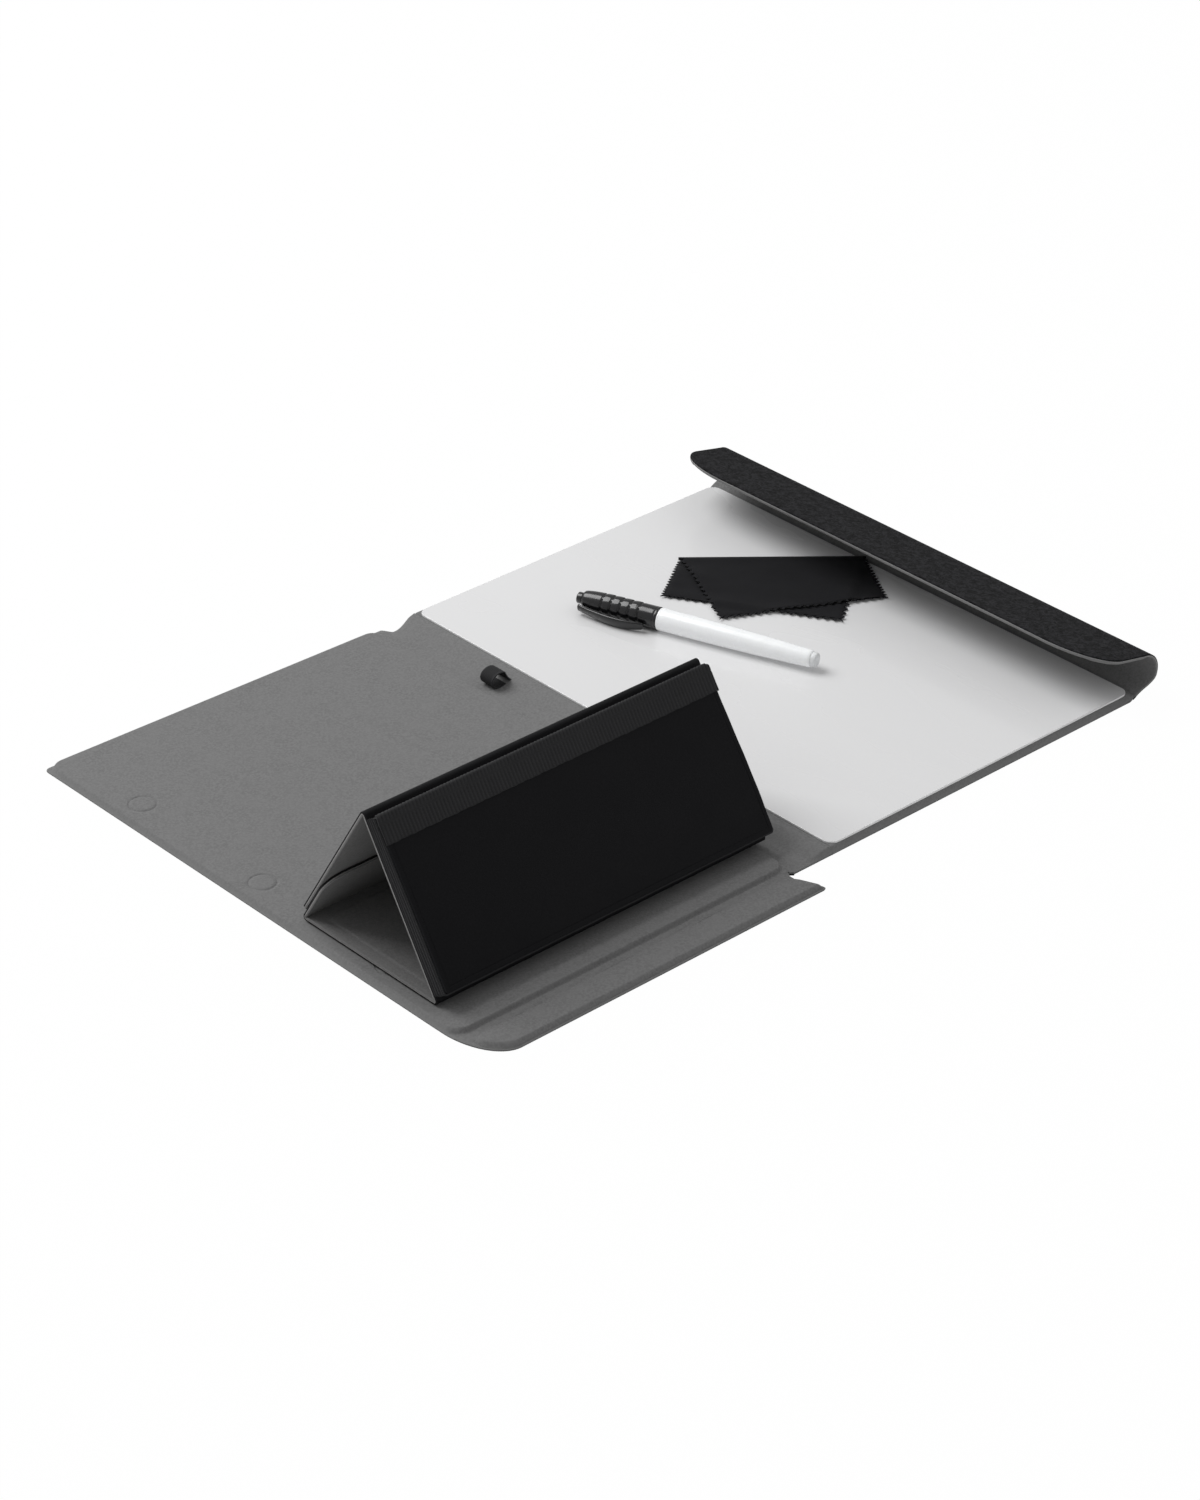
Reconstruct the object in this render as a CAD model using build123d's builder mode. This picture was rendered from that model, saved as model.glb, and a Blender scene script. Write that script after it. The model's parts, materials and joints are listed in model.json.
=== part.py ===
"""A folding desktop whiteboard: a soft A4 folio lying open on the desk.

Frame: +X runs along the open folio from the stand panel to the closing flap, -Y is the
front edge where the user sits and +Z is up. The origin is on the desk, in the middle of
the spine. All sizes are in millimetres and all angles in degrees.
"""

from build123d import *
import math
import os

os.makedirs("parts", exist_ok=True)

# Skins and core boards of the folio
SKIN = 0.9  # cover or lining
CORE = 2.4  # stiff board between the two skins
EDGE_WALL = 2.5  # turned-up edge of the cover, outside the core board
EDGE_ROUND = 1.5  # rounding of the stand panel cover's lower outer edge
END_ROUND = 0.7  # the same on the board panel's ends and on the lip
RIM_ROUND = 0.6  # rounding of the lining's upper outer edge
HEM_RUN = 1.8  # run over which the lining drops from a board to the flexible strip
FOLD_GAP = 0.3  # slit between two leaves along a fold
CREASE_DEPTH = 0.25  # line pressed into the lining along the edge of a board
CREASE_WIDTH = 0.7

# Writing sheet and its panel
SHEET_WIDTH = 206.6
SHEET_LENGTH = 300.0
SHEET_THICK = 0.8
SHEET_CORNER = 5.5
BORDER_SPINE = 5.0  # lining left showing between the sheet and the spine
BORDER_FLAP = 2.4
BORDER_END = 3.0
PANEL_CORNER = 4.0

# Spine and stand panel
SPINE_WIDTH = 22.0
SPINE_FRONT = -150.0
FOLD_INNER = -3.0  # where the spine bends next to the stand panel
FOLD_OUTER = 9.0  # where the spine bends next to the board panel
STAND_PANEL_WIDTH = 204.0
STAND_PANEL_FRONT = -142.0
BEVEL_START = 4.5  # the panel's outer front corner is cut away from here

# Front lip
LIP_GROOVE = 8.0  # flexible strip between stand panel and lip
LIP_DEPTH = 16.0
LIP_INSET = 8.0  # lip's left end, measured from the panel's left edge
LIP_CORNER = 7.0
LIP_NOTCH = -10.0  # lip's right end at the fold
LIP_TIP = -6.0  # lip's right end at its front edge
LIP_TIP_ROUND = 1.2

# Magnets under the lining, which hold the closed flap
MAGNET_RADIUS = 6.0
MAGNET_THICK = 1.0
MAGNET_RING = 6.6  # radius of the ring pressed into the lining over a magnet
MAGNET_INSET = 19.0  # from the panel's outer edge
MAGNET_FIRST = 96.5
MAGNET_PITCH = 90.5
MAGNET_COUNT = 3

# Curled strip and closing flap
FLAP_SKIN = 0.8
FLAP_CORE = 1.0
CURL_RADIUS = 10.3  # radius of the line between the strip's two skins
CURL_OUT = 0.7  # curl centre beyond the board panel's outer edge
CURL_UP = 15.0  # curl centre above the desk
STRIP_ROOT = 2.6  # height of that line where it meets the panel's outer edge
FLAP_LEAN = 12.4  # angle by which the flap rises towards its free edge
FLAP_WIDTH = 36.9
FLAP_END = 150.0
FLAP_TAPER_WIDTH = 18.0  # the flap's two free corners are quarter ellipses
FLAP_TAPER_LENGTH = 36.0
FLAP_BORDER = 3.0  # turned edge of the flap outside its core board
CURL_FOLDS = 4

# Device stand: base, front leg, back leg and tab, four leaves of one laminate
LEAF_SKIN = 0.6
LEAF_CORE = 0.8
LEAF_BORDER = 2.5
LEAF_CORNER = 2.0  # of the back leg's free end
LEAF_GAP = 0.2
OUTLINE_INSET = 6.5  # line pressed into the base by the board under its lining
OUTLINE_ROUND = 4.0
OUTLINE_DEPTH = 0.15
OUTLINE_WIDTH = 0.6
STAND_LEFT = -202.0
STAND_RIGHT = -4.0
GLUE_THICK = 0.5
GLUE_BORDER = 6.0
GLUE_BORDER_SPINE = 3.0
BASE_FRONT = -121.0  # fold between base and front leg
BASE_LAP = 1.5  # base beyond its two folds
FRONT_LEG = 86.0
FRONT_ANGLE = 58.4
BACK_LEG = 82.5
BACK_ANGLE = 58.0
TAB_LENGTH = 31.0
TAB_CORNER = 10.0
TAB_GAP = 0.35  # between tab and back leg, where their magnets meet
LATCH_RADIUS = 5.0  # magnets in the tab and the back leg
LATCH_THICK = 0.6
LATCH_UP = 20.0  # along the tab from its fold
LATCH_PITCH = 110.0

# Elastic pocket on the front leg
POCKET_DEPTH = 7.6
POCKET_BOTTOM = 1.0
POCKET_TOP = 84.0
GUSSET_WALL = 1.4
FACE_THICK = 1.2
FACE_TOP = 73.0
FACE_INSET = 0.8
FACE_CORNER = 6.0
POCKET_CORNER = 2.5  # rounding of the pocket's two upper corners
SEAM_INSET = 2.6
SEAM_DEPTH = 0.2
SEAM_WIDTH = 0.5
BAND_THICK = 1.0
BAND_LAP = 2.0  # band over the upper edge of the face
BAND_GAP = 0.2
POCKET_MOUTH = 5.8

# Pen loop on the spine
LOOP_BACK = 80.0
LOOP_LENGTH = 18.0
LOOP_RADIUS = 5.0
LOOP_WALL = 0.9
LOOP_CENTRE = 0.4
LOOP_TAIL = 8.2
TAIL_THICK = 1.6

# Marker, measured along its axis from the plug at the end of its barrel
PLUG_END = (123.7, -28.3)
MARKER_HEADING = 109.285  # direction from the plug to the button, from +X
REST_GAP = 0.15  # between a loose piece and the sheet under it
PLUG_RADIUS = 3.7
PLUG_ROUND = 0.8
PLUG_LENGTH = 3.2
PLUG_SPIGOT = 5.0
BARREL_LENGTH = 84.4
BARREL_RADIUS = 5.8
BARREL_END_RADIUS = 4.3
BARREL_TAPER = 42.0  # the barrel narrows over this length towards the plug
BARREL_WALL = 1.0
BARREL_ROUND = 0.7
HOLDER_SPIGOT = 5.0
NECK_LENGTH = 9.0
HOLDER_CONE = 8.0
HOLDER_TIP_RADIUS = 2.6
NIB_RADIUS = 1.6
NIB_LENGTH = 5.5
NIB_ROUND = 1.2
CAP_RADIUS = 5.9
CAP_END_RADIUS = 5.4
CAP_ROUND = 1.6
CAP_WALL = 1.1
CAP_FIT = 0.2
CAP_DEPTH = 34.0
CAP_END_THICK = 9.0
GROOVE_COUNT = 5
GROOVE_START = 10.5
GROOVE_PITCH = 5.2
GROOVE_WIDTH = 1.0
GROOVE_DEPTH = 0.4
BUTTON_RADIUS = 3.0
BUTTON_LENGTH = 3.6
BUTTON_ROUND = 0.8
CLIP_WIDTH = 4.8
CLIP_TIP_WIDTH = 3.2
CLIP_THICK = 1.5
CLIP_GAP = 0.8  # between the clip's tip and the cap
CLIP_RISE = 1.3  # how far the clip bows away from the cap in its middle
CLIP_START = 6.5  # from the cap's mouth to the clip's free end
CLIP_ROOT = 7.0  # length over which the clip joins the cap
CLIP_TURN = 12.0  # angle of the clip above the sheet, on the spine side

# Wiping cloth, folded once: corners measured from the middle of the sheet's flap side
CLOTH_THICK = 0.7
CLOTH_FOLD = [(-71.6, 101.0), (1.4, 36.8)]
UPPER_CORNERS = [(-21.0, -0.8), (-100.3, 40.2)]
LOWER_CORNERS = [(-55.7, -3.3), (-105.8, 78.0)]
CLOTH_TOOTH = 3.0
TOOTH_DEPTH = 1.1

# Longer than any piece, for cutting right through
THROUGH = 400.0

# Places worked out from the sizes above
PANEL_THICK = 2 * SKIN + CORE
STRIP_THICK = 2 * SKIN
BOARD_LEFT = SPINE_WIDTH / 2
BOARD_RIGHT = BOARD_LEFT + BORDER_SPINE + SHEET_WIDTH + BORDER_FLAP
PANEL_END = SHEET_LENGTH / 2 + BORDER_END
SHEET_TOP = PANEL_THICK + SHEET_THICK
STAND_PANEL_RIGHT = -SPINE_WIDTH / 2
STAND_PANEL_LEFT = STAND_PANEL_RIGHT - STAND_PANEL_WIDTH
LIP_BACK = STAND_PANEL_FRONT - LIP_GROOVE
LIP_FOLD = STAND_PANEL_FRONT - LIP_GROOVE / 2
LIP_FRONT = LIP_BACK - LIP_DEPTH
LIP_LEFT = STAND_PANEL_LEFT + LIP_INSET
LEAF_THICK = 2 * LEAF_SKIN + LEAF_CORE
STAND_LENGTH = STAND_RIGHT - STAND_LEFT
STAND_MIDDLE = (STAND_LEFT + STAND_RIGHT) / 2
BASE_TOP = PANEL_THICK + GLUE_THICK + LEAF_THICK
MAGNET_ROWS = [MAGNET_FIRST - MAGNET_PITCH * i for i in range(MAGNET_COUNT)]


def cos_sin(angle):
    """Cosine and sine of an angle in degrees."""
    return math.cos(math.radians(angle)), math.sin(math.radians(angle))


def keep(builder, name):
    """Label a finished piece and write it to its own file."""
    builder.part.label = name
    export_step(builder.part, f"parts/{name}.step")


def slab(points, low, high, rounds=(), mode=Mode.ADD):
    """A flat piece of the given outline between two heights, with some corners rounded."""
    with BuildSketch(Plane.XY.offset(low)) as outline:
        with BuildLine():
            Polyline(*points, close=True)
        make_face()
        for corner, radius in rounds:
            fillet(outline.vertices().sort_by_distance(corner)[0], radius)
    extrude(outline.sketch, amount=high - low, mode=mode)


def box_between(low, high, mode=Mode.ADD):
    """A box from its lowest corner to its highest corner."""
    with Locations(low):
        Box(
            *[high[i] - low[i] for i in range(3)],
            align=(Align.MIN, Align.MIN, Align.MIN),
            mode=mode,
        )


def rectangle(left, right, front, back):
    """The corners of a rectangle, from its left front corner anticlockwise."""
    return [(left, front), (right, front), (right, back), (left, back)]


def drop_lining(plane, edge, out):
    """Cut the lining down to the flexible strip beyond one straight edge of its board."""
    top = PANEL_THICK + SKIN
    with BuildSketch(plane) as beyond:
        with BuildLine():
            Polyline(
                (edge, top),
                (edge, PANEL_THICK),
                (edge + out * HEM_RUN, STRIP_THICK),
                (edge + out * THROUGH, STRIP_THICK),
                (edge + out * THROUGH, top),
                close=True,
            )
        make_face()
    extrude(beyond.sketch, amount=THROUGH, both=True, mode=Mode.SUBTRACT)


def crease(start, end):
    """Press a shallow line into the lining, along the edge of the board under it."""
    with BuildSketch(Plane.XY.offset(PANEL_THICK)) as groove:
        with BuildLine():
            Line(start, end)
        trace(line_width=CREASE_WIDTH)
    extrude(groove.sketch, amount=-CREASE_DEPTH, mode=Mode.SUBTRACT)


def outer_edges(face, left=None, right=None, front=None, back=None):
    """The edges of a level face that lie along the given outer sides."""
    chosen = []
    for edge in face.edges():
        middle = edge.center()
        beyond = [
            left is not None and middle.X < left,
            right is not None and middle.X > right,
            front is not None and middle.Y < front,
            back is not None and middle.Y > back,
        ]
        if any(beyond):
            chosen.append(edge)
    return chosen


def bottom_and_top(builder):
    """The lowest and the highest level face of a piece."""
    level = builder.faces().filter_by(Axis.Z).sort_by(Axis.Z)
    return level[0], level[-1]


# Stand panel: cover, core board, lining and the magnets under the lining
bevel_slope = LIP_INSET / (STAND_PANEL_FRONT + BEVEL_START - LIP_BACK)
bevel_top = STAND_PANEL_FRONT + BEVEL_START


def bevel(y):
    """How far the cut outer front corner is in from the panel's left edge at this y."""
    return STAND_PANEL_LEFT + bevel_slope * (bevel_top - y)


inner_stop = FOLD_INNER - FOLD_GAP / 2
front_stop = LIP_FOLD + FOLD_GAP / 2
core_left = STAND_PANEL_LEFT + EDGE_WALL
core_back = PANEL_END - EDGE_WALL
stand_panel_outline = [
    (STAND_PANEL_LEFT, PANEL_END),
    (STAND_PANEL_LEFT, bevel_top),
    (bevel(front_stop), front_stop),
    (inner_stop, front_stop),
    (inner_stop, PANEL_END),
]
stand_core_outline = [
    (core_left, core_back),
    (core_left, bevel_top),
    (bevel(STAND_PANEL_FRONT) + EDGE_WALL, STAND_PANEL_FRONT),
    (STAND_PANEL_RIGHT, STAND_PANEL_FRONT),
    (STAND_PANEL_RIGHT, core_back),
]
stand_panel_rounds = [((STAND_PANEL_LEFT, PANEL_END), PANEL_CORNER)]
stand_panel_sides = {"left": STAND_PANEL_LEFT + PANEL_CORNER / 2, "back": PANEL_END - PANEL_CORNER / 2}
closure_points = [(STAND_PANEL_LEFT + MAGNET_INSET, y) for y in MAGNET_ROWS]
CORE_TOP = SKIN + CORE

with BuildPart() as stand_panel_cover:
    slab(stand_panel_outline, 0, CORE_TOP, stand_panel_rounds)
    slab(stand_core_outline, SKIN, CORE_TOP, mode=Mode.SUBTRACT)
    right_strip = (STAND_PANEL_RIGHT, -THROUGH, SKIN), (0, THROUGH, CORE_TOP)
    front_strip = (-THROUGH, -THROUGH, SKIN), (0, STAND_PANEL_FRONT, CORE_TOP)
    box_between(*right_strip, mode=Mode.SUBTRACT)
    box_between(*front_strip, mode=Mode.SUBTRACT)
    fillet(outer_edges(bottom_and_top(stand_panel_cover)[0], **stand_panel_sides), EDGE_ROUND)
keep(stand_panel_cover, "stand_panel_cover")

with BuildPart() as stand_panel_board:
    slab(stand_core_outline, SKIN, CORE_TOP)
    with Locations(*[(x, y, CORE_TOP - MAGNET_THICK / 2) for x, y in closure_points]):
        Cylinder(MAGNET_RADIUS, MAGNET_THICK, mode=Mode.SUBTRACT)
keep(stand_panel_board, "stand_panel_board")

with BuildPart() as closure_magnets:
    with Locations(*[(x, y, CORE_TOP - MAGNET_THICK / 2) for x, y in closure_points]):
        Cylinder(MAGNET_RADIUS, MAGNET_THICK)
keep(closure_magnets, "closure_magnets")

with BuildPart() as stand_panel_liner:
    slab(stand_panel_outline, SKIN, PANEL_THICK, stand_panel_rounds)
    slab(stand_core_outline, SKIN, CORE_TOP, mode=Mode.SUBTRACT)
    add(stand_panel_cover.part, mode=Mode.SUBTRACT)
    drop_lining(Plane.XZ, STAND_PANEL_RIGHT, 1)
    drop_lining(Plane.YZ, STAND_PANEL_FRONT, -1)
    fillet(outer_edges(bottom_and_top(stand_panel_liner)[1], **stand_panel_sides), RIM_ROUND)
    crease((core_left, bevel_top), (core_left, core_back))
    crease((core_left, core_back), (STAND_PANEL_RIGHT - HEM_RUN, core_back))
    with BuildSketch(Plane.XY.offset(PANEL_THICK)):
        with Locations(*closure_points):
            Circle(MAGNET_RING + CREASE_WIDTH)
            Circle(MAGNET_RING, mode=Mode.SUBTRACT)
    extrude(amount=-CREASE_DEPTH, mode=Mode.SUBTRACT)
keep(stand_panel_liner, "stand_panel_liner")


# Front lip: a narrow stiffened strip that folds up along the stand panel's front edge
lip_stop = LIP_FOLD - FOLD_GAP / 2
lip_slant = (LIP_TIP - LIP_NOTCH) / (LIP_FOLD - LIP_FRONT)
lip_outline = [
    (bevel(lip_stop), lip_stop),
    (LIP_LEFT, LIP_BACK),
    (LIP_LEFT, LIP_FRONT),
    (LIP_TIP, LIP_FRONT),
    (LIP_NOTCH, lip_stop),
]
lip_core_outline = [
    (LIP_LEFT + EDGE_WALL, LIP_BACK),
    (LIP_LEFT + EDGE_WALL, LIP_FRONT + LIP_CORNER),
    (LIP_LEFT + LIP_CORNER, LIP_FRONT + EDGE_WALL),
    (LIP_TIP - 2 * EDGE_WALL, LIP_FRONT + EDGE_WALL),
    (LIP_NOTCH + lip_slant * (LIP_FOLD - LIP_BACK) - EDGE_WALL, LIP_BACK),
]
lip_rounds = [((LIP_LEFT, LIP_FRONT), LIP_CORNER), ((LIP_TIP, LIP_FRONT), LIP_TIP_ROUND)]
lip_sides = {"front": LIP_FRONT + EDGE_WALL}

with BuildPart() as lip_cover:
    slab(lip_outline, 0, CORE_TOP, lip_rounds)
    slab(lip_core_outline, SKIN, CORE_TOP, mode=Mode.SUBTRACT)
    box_between((-THROUGH, LIP_BACK, SKIN), (0, LIP_FOLD, CORE_TOP), mode=Mode.SUBTRACT)
    fillet(outer_edges(bottom_and_top(lip_cover)[0], **lip_sides), END_ROUND)
keep(lip_cover, "lip_cover")

with BuildPart() as lip_board:
    slab(lip_core_outline, SKIN, CORE_TOP)
keep(lip_board, "lip_board")

with BuildPart() as lip_liner:
    slab(lip_outline, SKIN, PANEL_THICK, lip_rounds)
    slab(lip_core_outline, SKIN, CORE_TOP, mode=Mode.SUBTRACT)
    add(lip_cover.part, mode=Mode.SUBTRACT)
    drop_lining(Plane.YZ, LIP_BACK, 1)
    fillet(outer_edges(bottom_and_top(lip_liner)[1], **lip_sides), RIM_ROUND)
keep(lip_liner, "lip_liner")


# Spine: two bare skins between the folds, with the pen loop sewn to its lining
spine_outline = rectangle(
    FOLD_INNER + FOLD_GAP / 2, FOLD_OUTER - FOLD_GAP / 2, SPINE_FRONT, PANEL_END
)

with BuildPart() as spine_cover:
    slab(spine_outline, 0, SKIN)
keep(spine_cover, "spine_cover")

with BuildPart() as spine_liner:
    slab(spine_outline, SKIN, STRIP_THICK)
keep(spine_liner, "spine_liner")

with BuildPart() as pen_loop:
    with BuildSketch(Plane.XZ.offset(-LOOP_BACK)):
        with Locations((LOOP_CENTRE, STRIP_THICK)):
            Rectangle(LOOP_TAIL - LOOP_CENTRE, TAIL_THICK, align=(Align.MIN, Align.MIN))
        with Locations((LOOP_CENTRE, STRIP_THICK + LOOP_RADIUS)):
            Circle(LOOP_RADIUS)
            Circle(LOOP_RADIUS - LOOP_WALL, mode=Mode.SUBTRACT)
    extrude(amount=LOOP_LENGTH)
keep(pen_loop, "pen_loop")


# Board panel: cover, core board, lining and the writing sheet glued to the lining
board_outline = rectangle(FOLD_OUTER + FOLD_GAP / 2, BOARD_RIGHT, -PANEL_END, PANEL_END)
board_core_outline = rectangle(
    BOARD_LEFT, BOARD_RIGHT - EDGE_WALL, EDGE_WALL - PANEL_END, PANEL_END - EDGE_WALL
)
board_rounds = [((BOARD_RIGHT, y), PANEL_CORNER) for y in (-PANEL_END, PANEL_END)]
board_sides = {
    "right": BOARD_RIGHT - PANEL_CORNER / 2,
    "front": PANEL_CORNER / 2 - PANEL_END,
    "back": PANEL_END - PANEL_CORNER / 2,
}

with BuildPart() as board_panel_cover:
    slab(board_outline, 0, CORE_TOP, board_rounds)
    slab(board_core_outline, SKIN, CORE_TOP, mode=Mode.SUBTRACT)
    box_between((0, -THROUGH, SKIN), (BOARD_LEFT, THROUGH, CORE_TOP), mode=Mode.SUBTRACT)
    cover_ends = {"front": board_sides["front"], "back": board_sides["back"]}
    fillet(outer_edges(bottom_and_top(board_panel_cover)[0], **cover_ends), END_ROUND)
keep(board_panel_cover, "board_panel_cover")

with BuildPart() as board_panel_board:
    slab(board_core_outline, SKIN, CORE_TOP)
keep(board_panel_board, "board_panel_board")

with BuildPart() as board_panel_liner:
    slab(board_outline, SKIN, PANEL_THICK, board_rounds)
    slab(board_core_outline, SKIN, CORE_TOP, mode=Mode.SUBTRACT)
    add(board_panel_cover.part, mode=Mode.SUBTRACT)
    drop_lining(Plane.XZ, BOARD_LEFT, -1)
    fillet(outer_edges(bottom_and_top(board_panel_liner)[1], **board_sides), RIM_ROUND)
keep(board_panel_liner, "board_panel_liner")

with BuildPart() as whiteboard_sheet:
    with BuildSketch(Plane.XY.offset(PANEL_THICK)):
        with Locations((BOARD_LEFT + BORDER_SPINE, 0)):
            RectangleRounded(
                SHEET_WIDTH, SHEET_LENGTH, SHEET_CORNER, align=(Align.MIN, Align.CENTER)
            )
    extrude(amount=SHEET_THICK)
keep(whiteboard_sheet, "whiteboard_sheet")


# Curled strip: its section is a tangent from the panel's edge, then an arc. The folds are
# equal shares of the whole turn, the first at the panel's edge.
curl_centre = Vector(BOARD_RIGHT + CURL_OUT, CURL_UP)
strip_root = Vector(BOARD_RIGHT, STRIP_ROOT)
reach = curl_centre - strip_root
root_angle = math.degrees(
    math.atan2(reach.Y, reach.X) - math.asin(CURL_RADIUS / reach.length)
)
end_angle = 180 - FLAP_LEAN
fold_turn = end_angle / CURL_FOLDS


def on_curl(direction, inward):
    """A point of the curl where the strip runs in this direction, off its middle line."""
    cosine, sine = cos_sin(direction - 90)
    radius = CURL_RADIUS - inward
    return Vector(curl_centre.X + radius * cosine, curl_centre.Y + radius * sine)


def along_root(inward):
    """The strip's start beside the panel's edge, on a line parallel to the tangent."""
    cosine, sine = cos_sin(root_angle)
    start = strip_root + Vector(-sine, cosine) * inward
    run = (BOARD_RIGHT + FOLD_GAP - start.X) / cosine
    return start + Vector(cosine, sine) * run


def curl_arc(first, last, inward):
    """An arc of the strip between two directions of travel."""
    middle = (first + last) / 2
    return ThreePointArc(*[on_curl(angle, inward) for angle in (first, middle, last)])


def curl_skin(first, last, near, far):
    """One skin of a curled stretch, between two distances inward of the middle line."""
    with BuildSketch(Plane.XZ) as section:
        with BuildLine():
            inner = curl_arc(first, last, far)
            outer = curl_arc(first, last, near)
            Line(inner @ 0, outer @ 0)
            Line(inner @ 1, outer @ 1)
        make_face()
    extrude(section.sketch, amount=FLAP_END, both=True)


def root_skin(last, near, far):
    """The first stretch's skin, which also holds the tangent beside the panel's edge."""
    with BuildSketch(Plane.XZ) as section:
        with BuildLine():
            inner = curl_arc(root_angle, last, far)
            outer = curl_arc(root_angle, last, near)
            Line(inner @ 1, outer @ 1)
            Polyline(inner @ 0, along_root(far), along_root(near), outer @ 0)
        make_face()
    extrude(section.sketch, amount=FLAP_END, both=True)


half_slit = math.degrees(FOLD_GAP / 2 / CURL_RADIUS)
fold_directions = [fold_turn * (number + 0.5) for number in range(1, CURL_FOLDS)]

with BuildPart() as flap_strip_1_cover:
    root_skin(fold_directions[0] - half_slit, -FLAP_SKIN, 0)
keep(flap_strip_1_cover, "flap_strip_1_cover")

with BuildPart() as flap_strip_1_liner:
    root_skin(fold_directions[0] - half_slit, 0, FLAP_SKIN)
keep(flap_strip_1_liner, "flap_strip_1_liner")

for number in range(1, CURL_FOLDS - 1):
    span = fold_directions[number - 1] + half_slit, fold_directions[number] - half_slit
    with BuildPart() as flap_strip_cover:
        curl_skin(*span, -FLAP_SKIN, 0)
    keep(flap_strip_cover, f"flap_strip_{number + 1}_cover")
    with BuildPart() as flap_strip_liner:
        curl_skin(*span, 0, FLAP_SKIN)
    keep(flap_strip_liner, f"flap_strip_{number + 1}_liner")


# Closing flap: in its own plane, x is across the flap from the curl to its free edge, y is
# along the fold and z points inward, down to the sheet
flap_cosine, flap_sine = cos_sin(end_angle)
flap_start = on_curl(end_angle, 0)
flap_plane = Plane(
    origin=(flap_start.X, 0, flap_start.Y),
    x_dir=(flap_cosine, 0, flap_sine),
    z_dir=(-flap_sine, 0, flap_cosine),
)
last_fold = fold_directions[-1] + half_slit
HEM = HEM_RUN + RIM_ROUND


def flap_outline(inset, near):
    """The flap's outline with its two free corners tapered, in the flap's own plane."""
    end = FLAP_END - inset
    edge = FLAP_WIDTH - inset
    taper = FLAP_TAPER_WIDTH
    with BuildSketch(flap_plane) as outline:
        with BuildLine():
            upper = EllipticalCenterArc(
                (edge - taper, end - FLAP_TAPER_LENGTH), taper, FLAP_TAPER_LENGTH, arc_size=90
            )
            lower = mirror(upper, about=Plane.XZ)
            Line(upper @ 0, lower @ 0)
            Polyline(upper @ 1, (near, end), (near, -end), lower @ 1)
        make_face()
    return outline.sketch


def trim_to_flap():
    """Cut a flap skin to the outline, all the way from the curl to the free edge."""
    extrude(
        flap_outline(0, -3 * CURL_RADIUS), amount=3 * CURL_RADIUS, both=True, mode=Mode.INTERSECT
    )


def flap_section(points):
    """A stretch of the flap with this section, in x and z of the flap's own plane."""
    section_plane = Plane(origin=flap_plane.origin, x_dir=flap_plane.x_dir, z_dir=(0, -1, 0))
    with BuildSketch(section_plane) as section:
        with BuildLine():
            Polyline(*points, close=True)
        make_face()
    extrude(section.sketch, amount=FLAP_END, both=True)


with BuildPart() as flap_board:
    extrude(flap_outline(FLAP_BORDER, HEM + FLAP_BORDER / 2), amount=FLAP_CORE)
    with Locations(flap_plane):
        with Locations(*[(MAGNET_INSET, y, FLAP_CORE / 2) for y in MAGNET_ROWS]):
            Cylinder(MAGNET_RADIUS, FLAP_CORE, mode=Mode.SUBTRACT)
keep(flap_board, "flap_board")

with BuildPart() as flap_magnets:
    with Locations(flap_plane):
        with Locations(*[(MAGNET_INSET, y, FLAP_CORE / 2) for y in MAGNET_ROWS]):
            Cylinder(MAGNET_RADIUS, FLAP_CORE)
keep(flap_magnets, "flap_magnets")

with BuildPart() as flap_cover:
    curl_skin(last_fold, end_angle, -FLAP_SKIN, 0)
    flap_section([(0, -FLAP_SKIN), (FLAP_WIDTH, -FLAP_SKIN), (FLAP_WIDTH, 0), (0, 0)])
    flap_section([(HEM, 0), (FLAP_WIDTH, 0), (FLAP_WIDTH, FLAP_CORE), (HEM, FLAP_CORE)])
    trim_to_flap()
    core_outline = flap_outline(FLAP_BORDER, HEM + FLAP_BORDER / 2)
    extrude(core_outline, amount=FLAP_CORE, mode=Mode.SUBTRACT)
keep(flap_cover, "flap_cover")

with BuildPart() as flap_liner:
    curl_skin(last_fold, end_angle, 0, FLAP_SKIN)
    flap_section(
        [
            (0, 0),
            (HEM, 0),
            (HEM, FLAP_CORE),
            (FLAP_WIDTH, FLAP_CORE),
            (FLAP_WIDTH, FLAP_CORE + FLAP_SKIN),
            (HEM, FLAP_CORE + FLAP_SKIN),
            (0, FLAP_SKIN),
        ]
    )
    trim_to_flap()
keep(flap_liner, "flap_liner")


# Device stand. Each leaf is drawn on the plane of its inner face: x is along the stand, y
# runs from the leaf's fold to its far end and z points out of the triangle.
front_cosine, front_sine = cos_sin(FRONT_ANGLE)
back_cosine, back_sine = cos_sin(BACK_ANGLE)
apex_y = BASE_FRONT + FRONT_LEG * front_cosine
apex_z = BASE_TOP + FRONT_LEG * front_sine
tab_offset = TAB_GAP + LEAF_THICK
tab_y = apex_y + (back_cosine * (apex_z - BASE_TOP) - tab_offset) / back_sine
front_plane = Plane(
    origin=(STAND_MIDDLE, BASE_FRONT, BASE_TOP),
    x_dir=(1, 0, 0),
    z_dir=(0, -front_sine, front_cosine),
)
back_plane = Plane(
    origin=(STAND_MIDDLE, apex_y, apex_z),
    x_dir=(1, 0, 0),
    z_dir=(0, back_sine, back_cosine),
)
tab_plane = Plane(
    origin=(STAND_MIDDLE, tab_y, BASE_TOP),
    x_dir=(-1, 0, 0),
    z_dir=(0, back_sine, back_cosine),
)
base_plane = Plane(
    origin=(STAND_MIDDLE, BASE_FRONT - BASE_LAP, BASE_TOP),
    x_dir=(-1, 0, 0),
    z_dir=(0, 0, -1),
)
base_length = tab_y - BASE_FRONT + 2 * BASE_LAP


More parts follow.
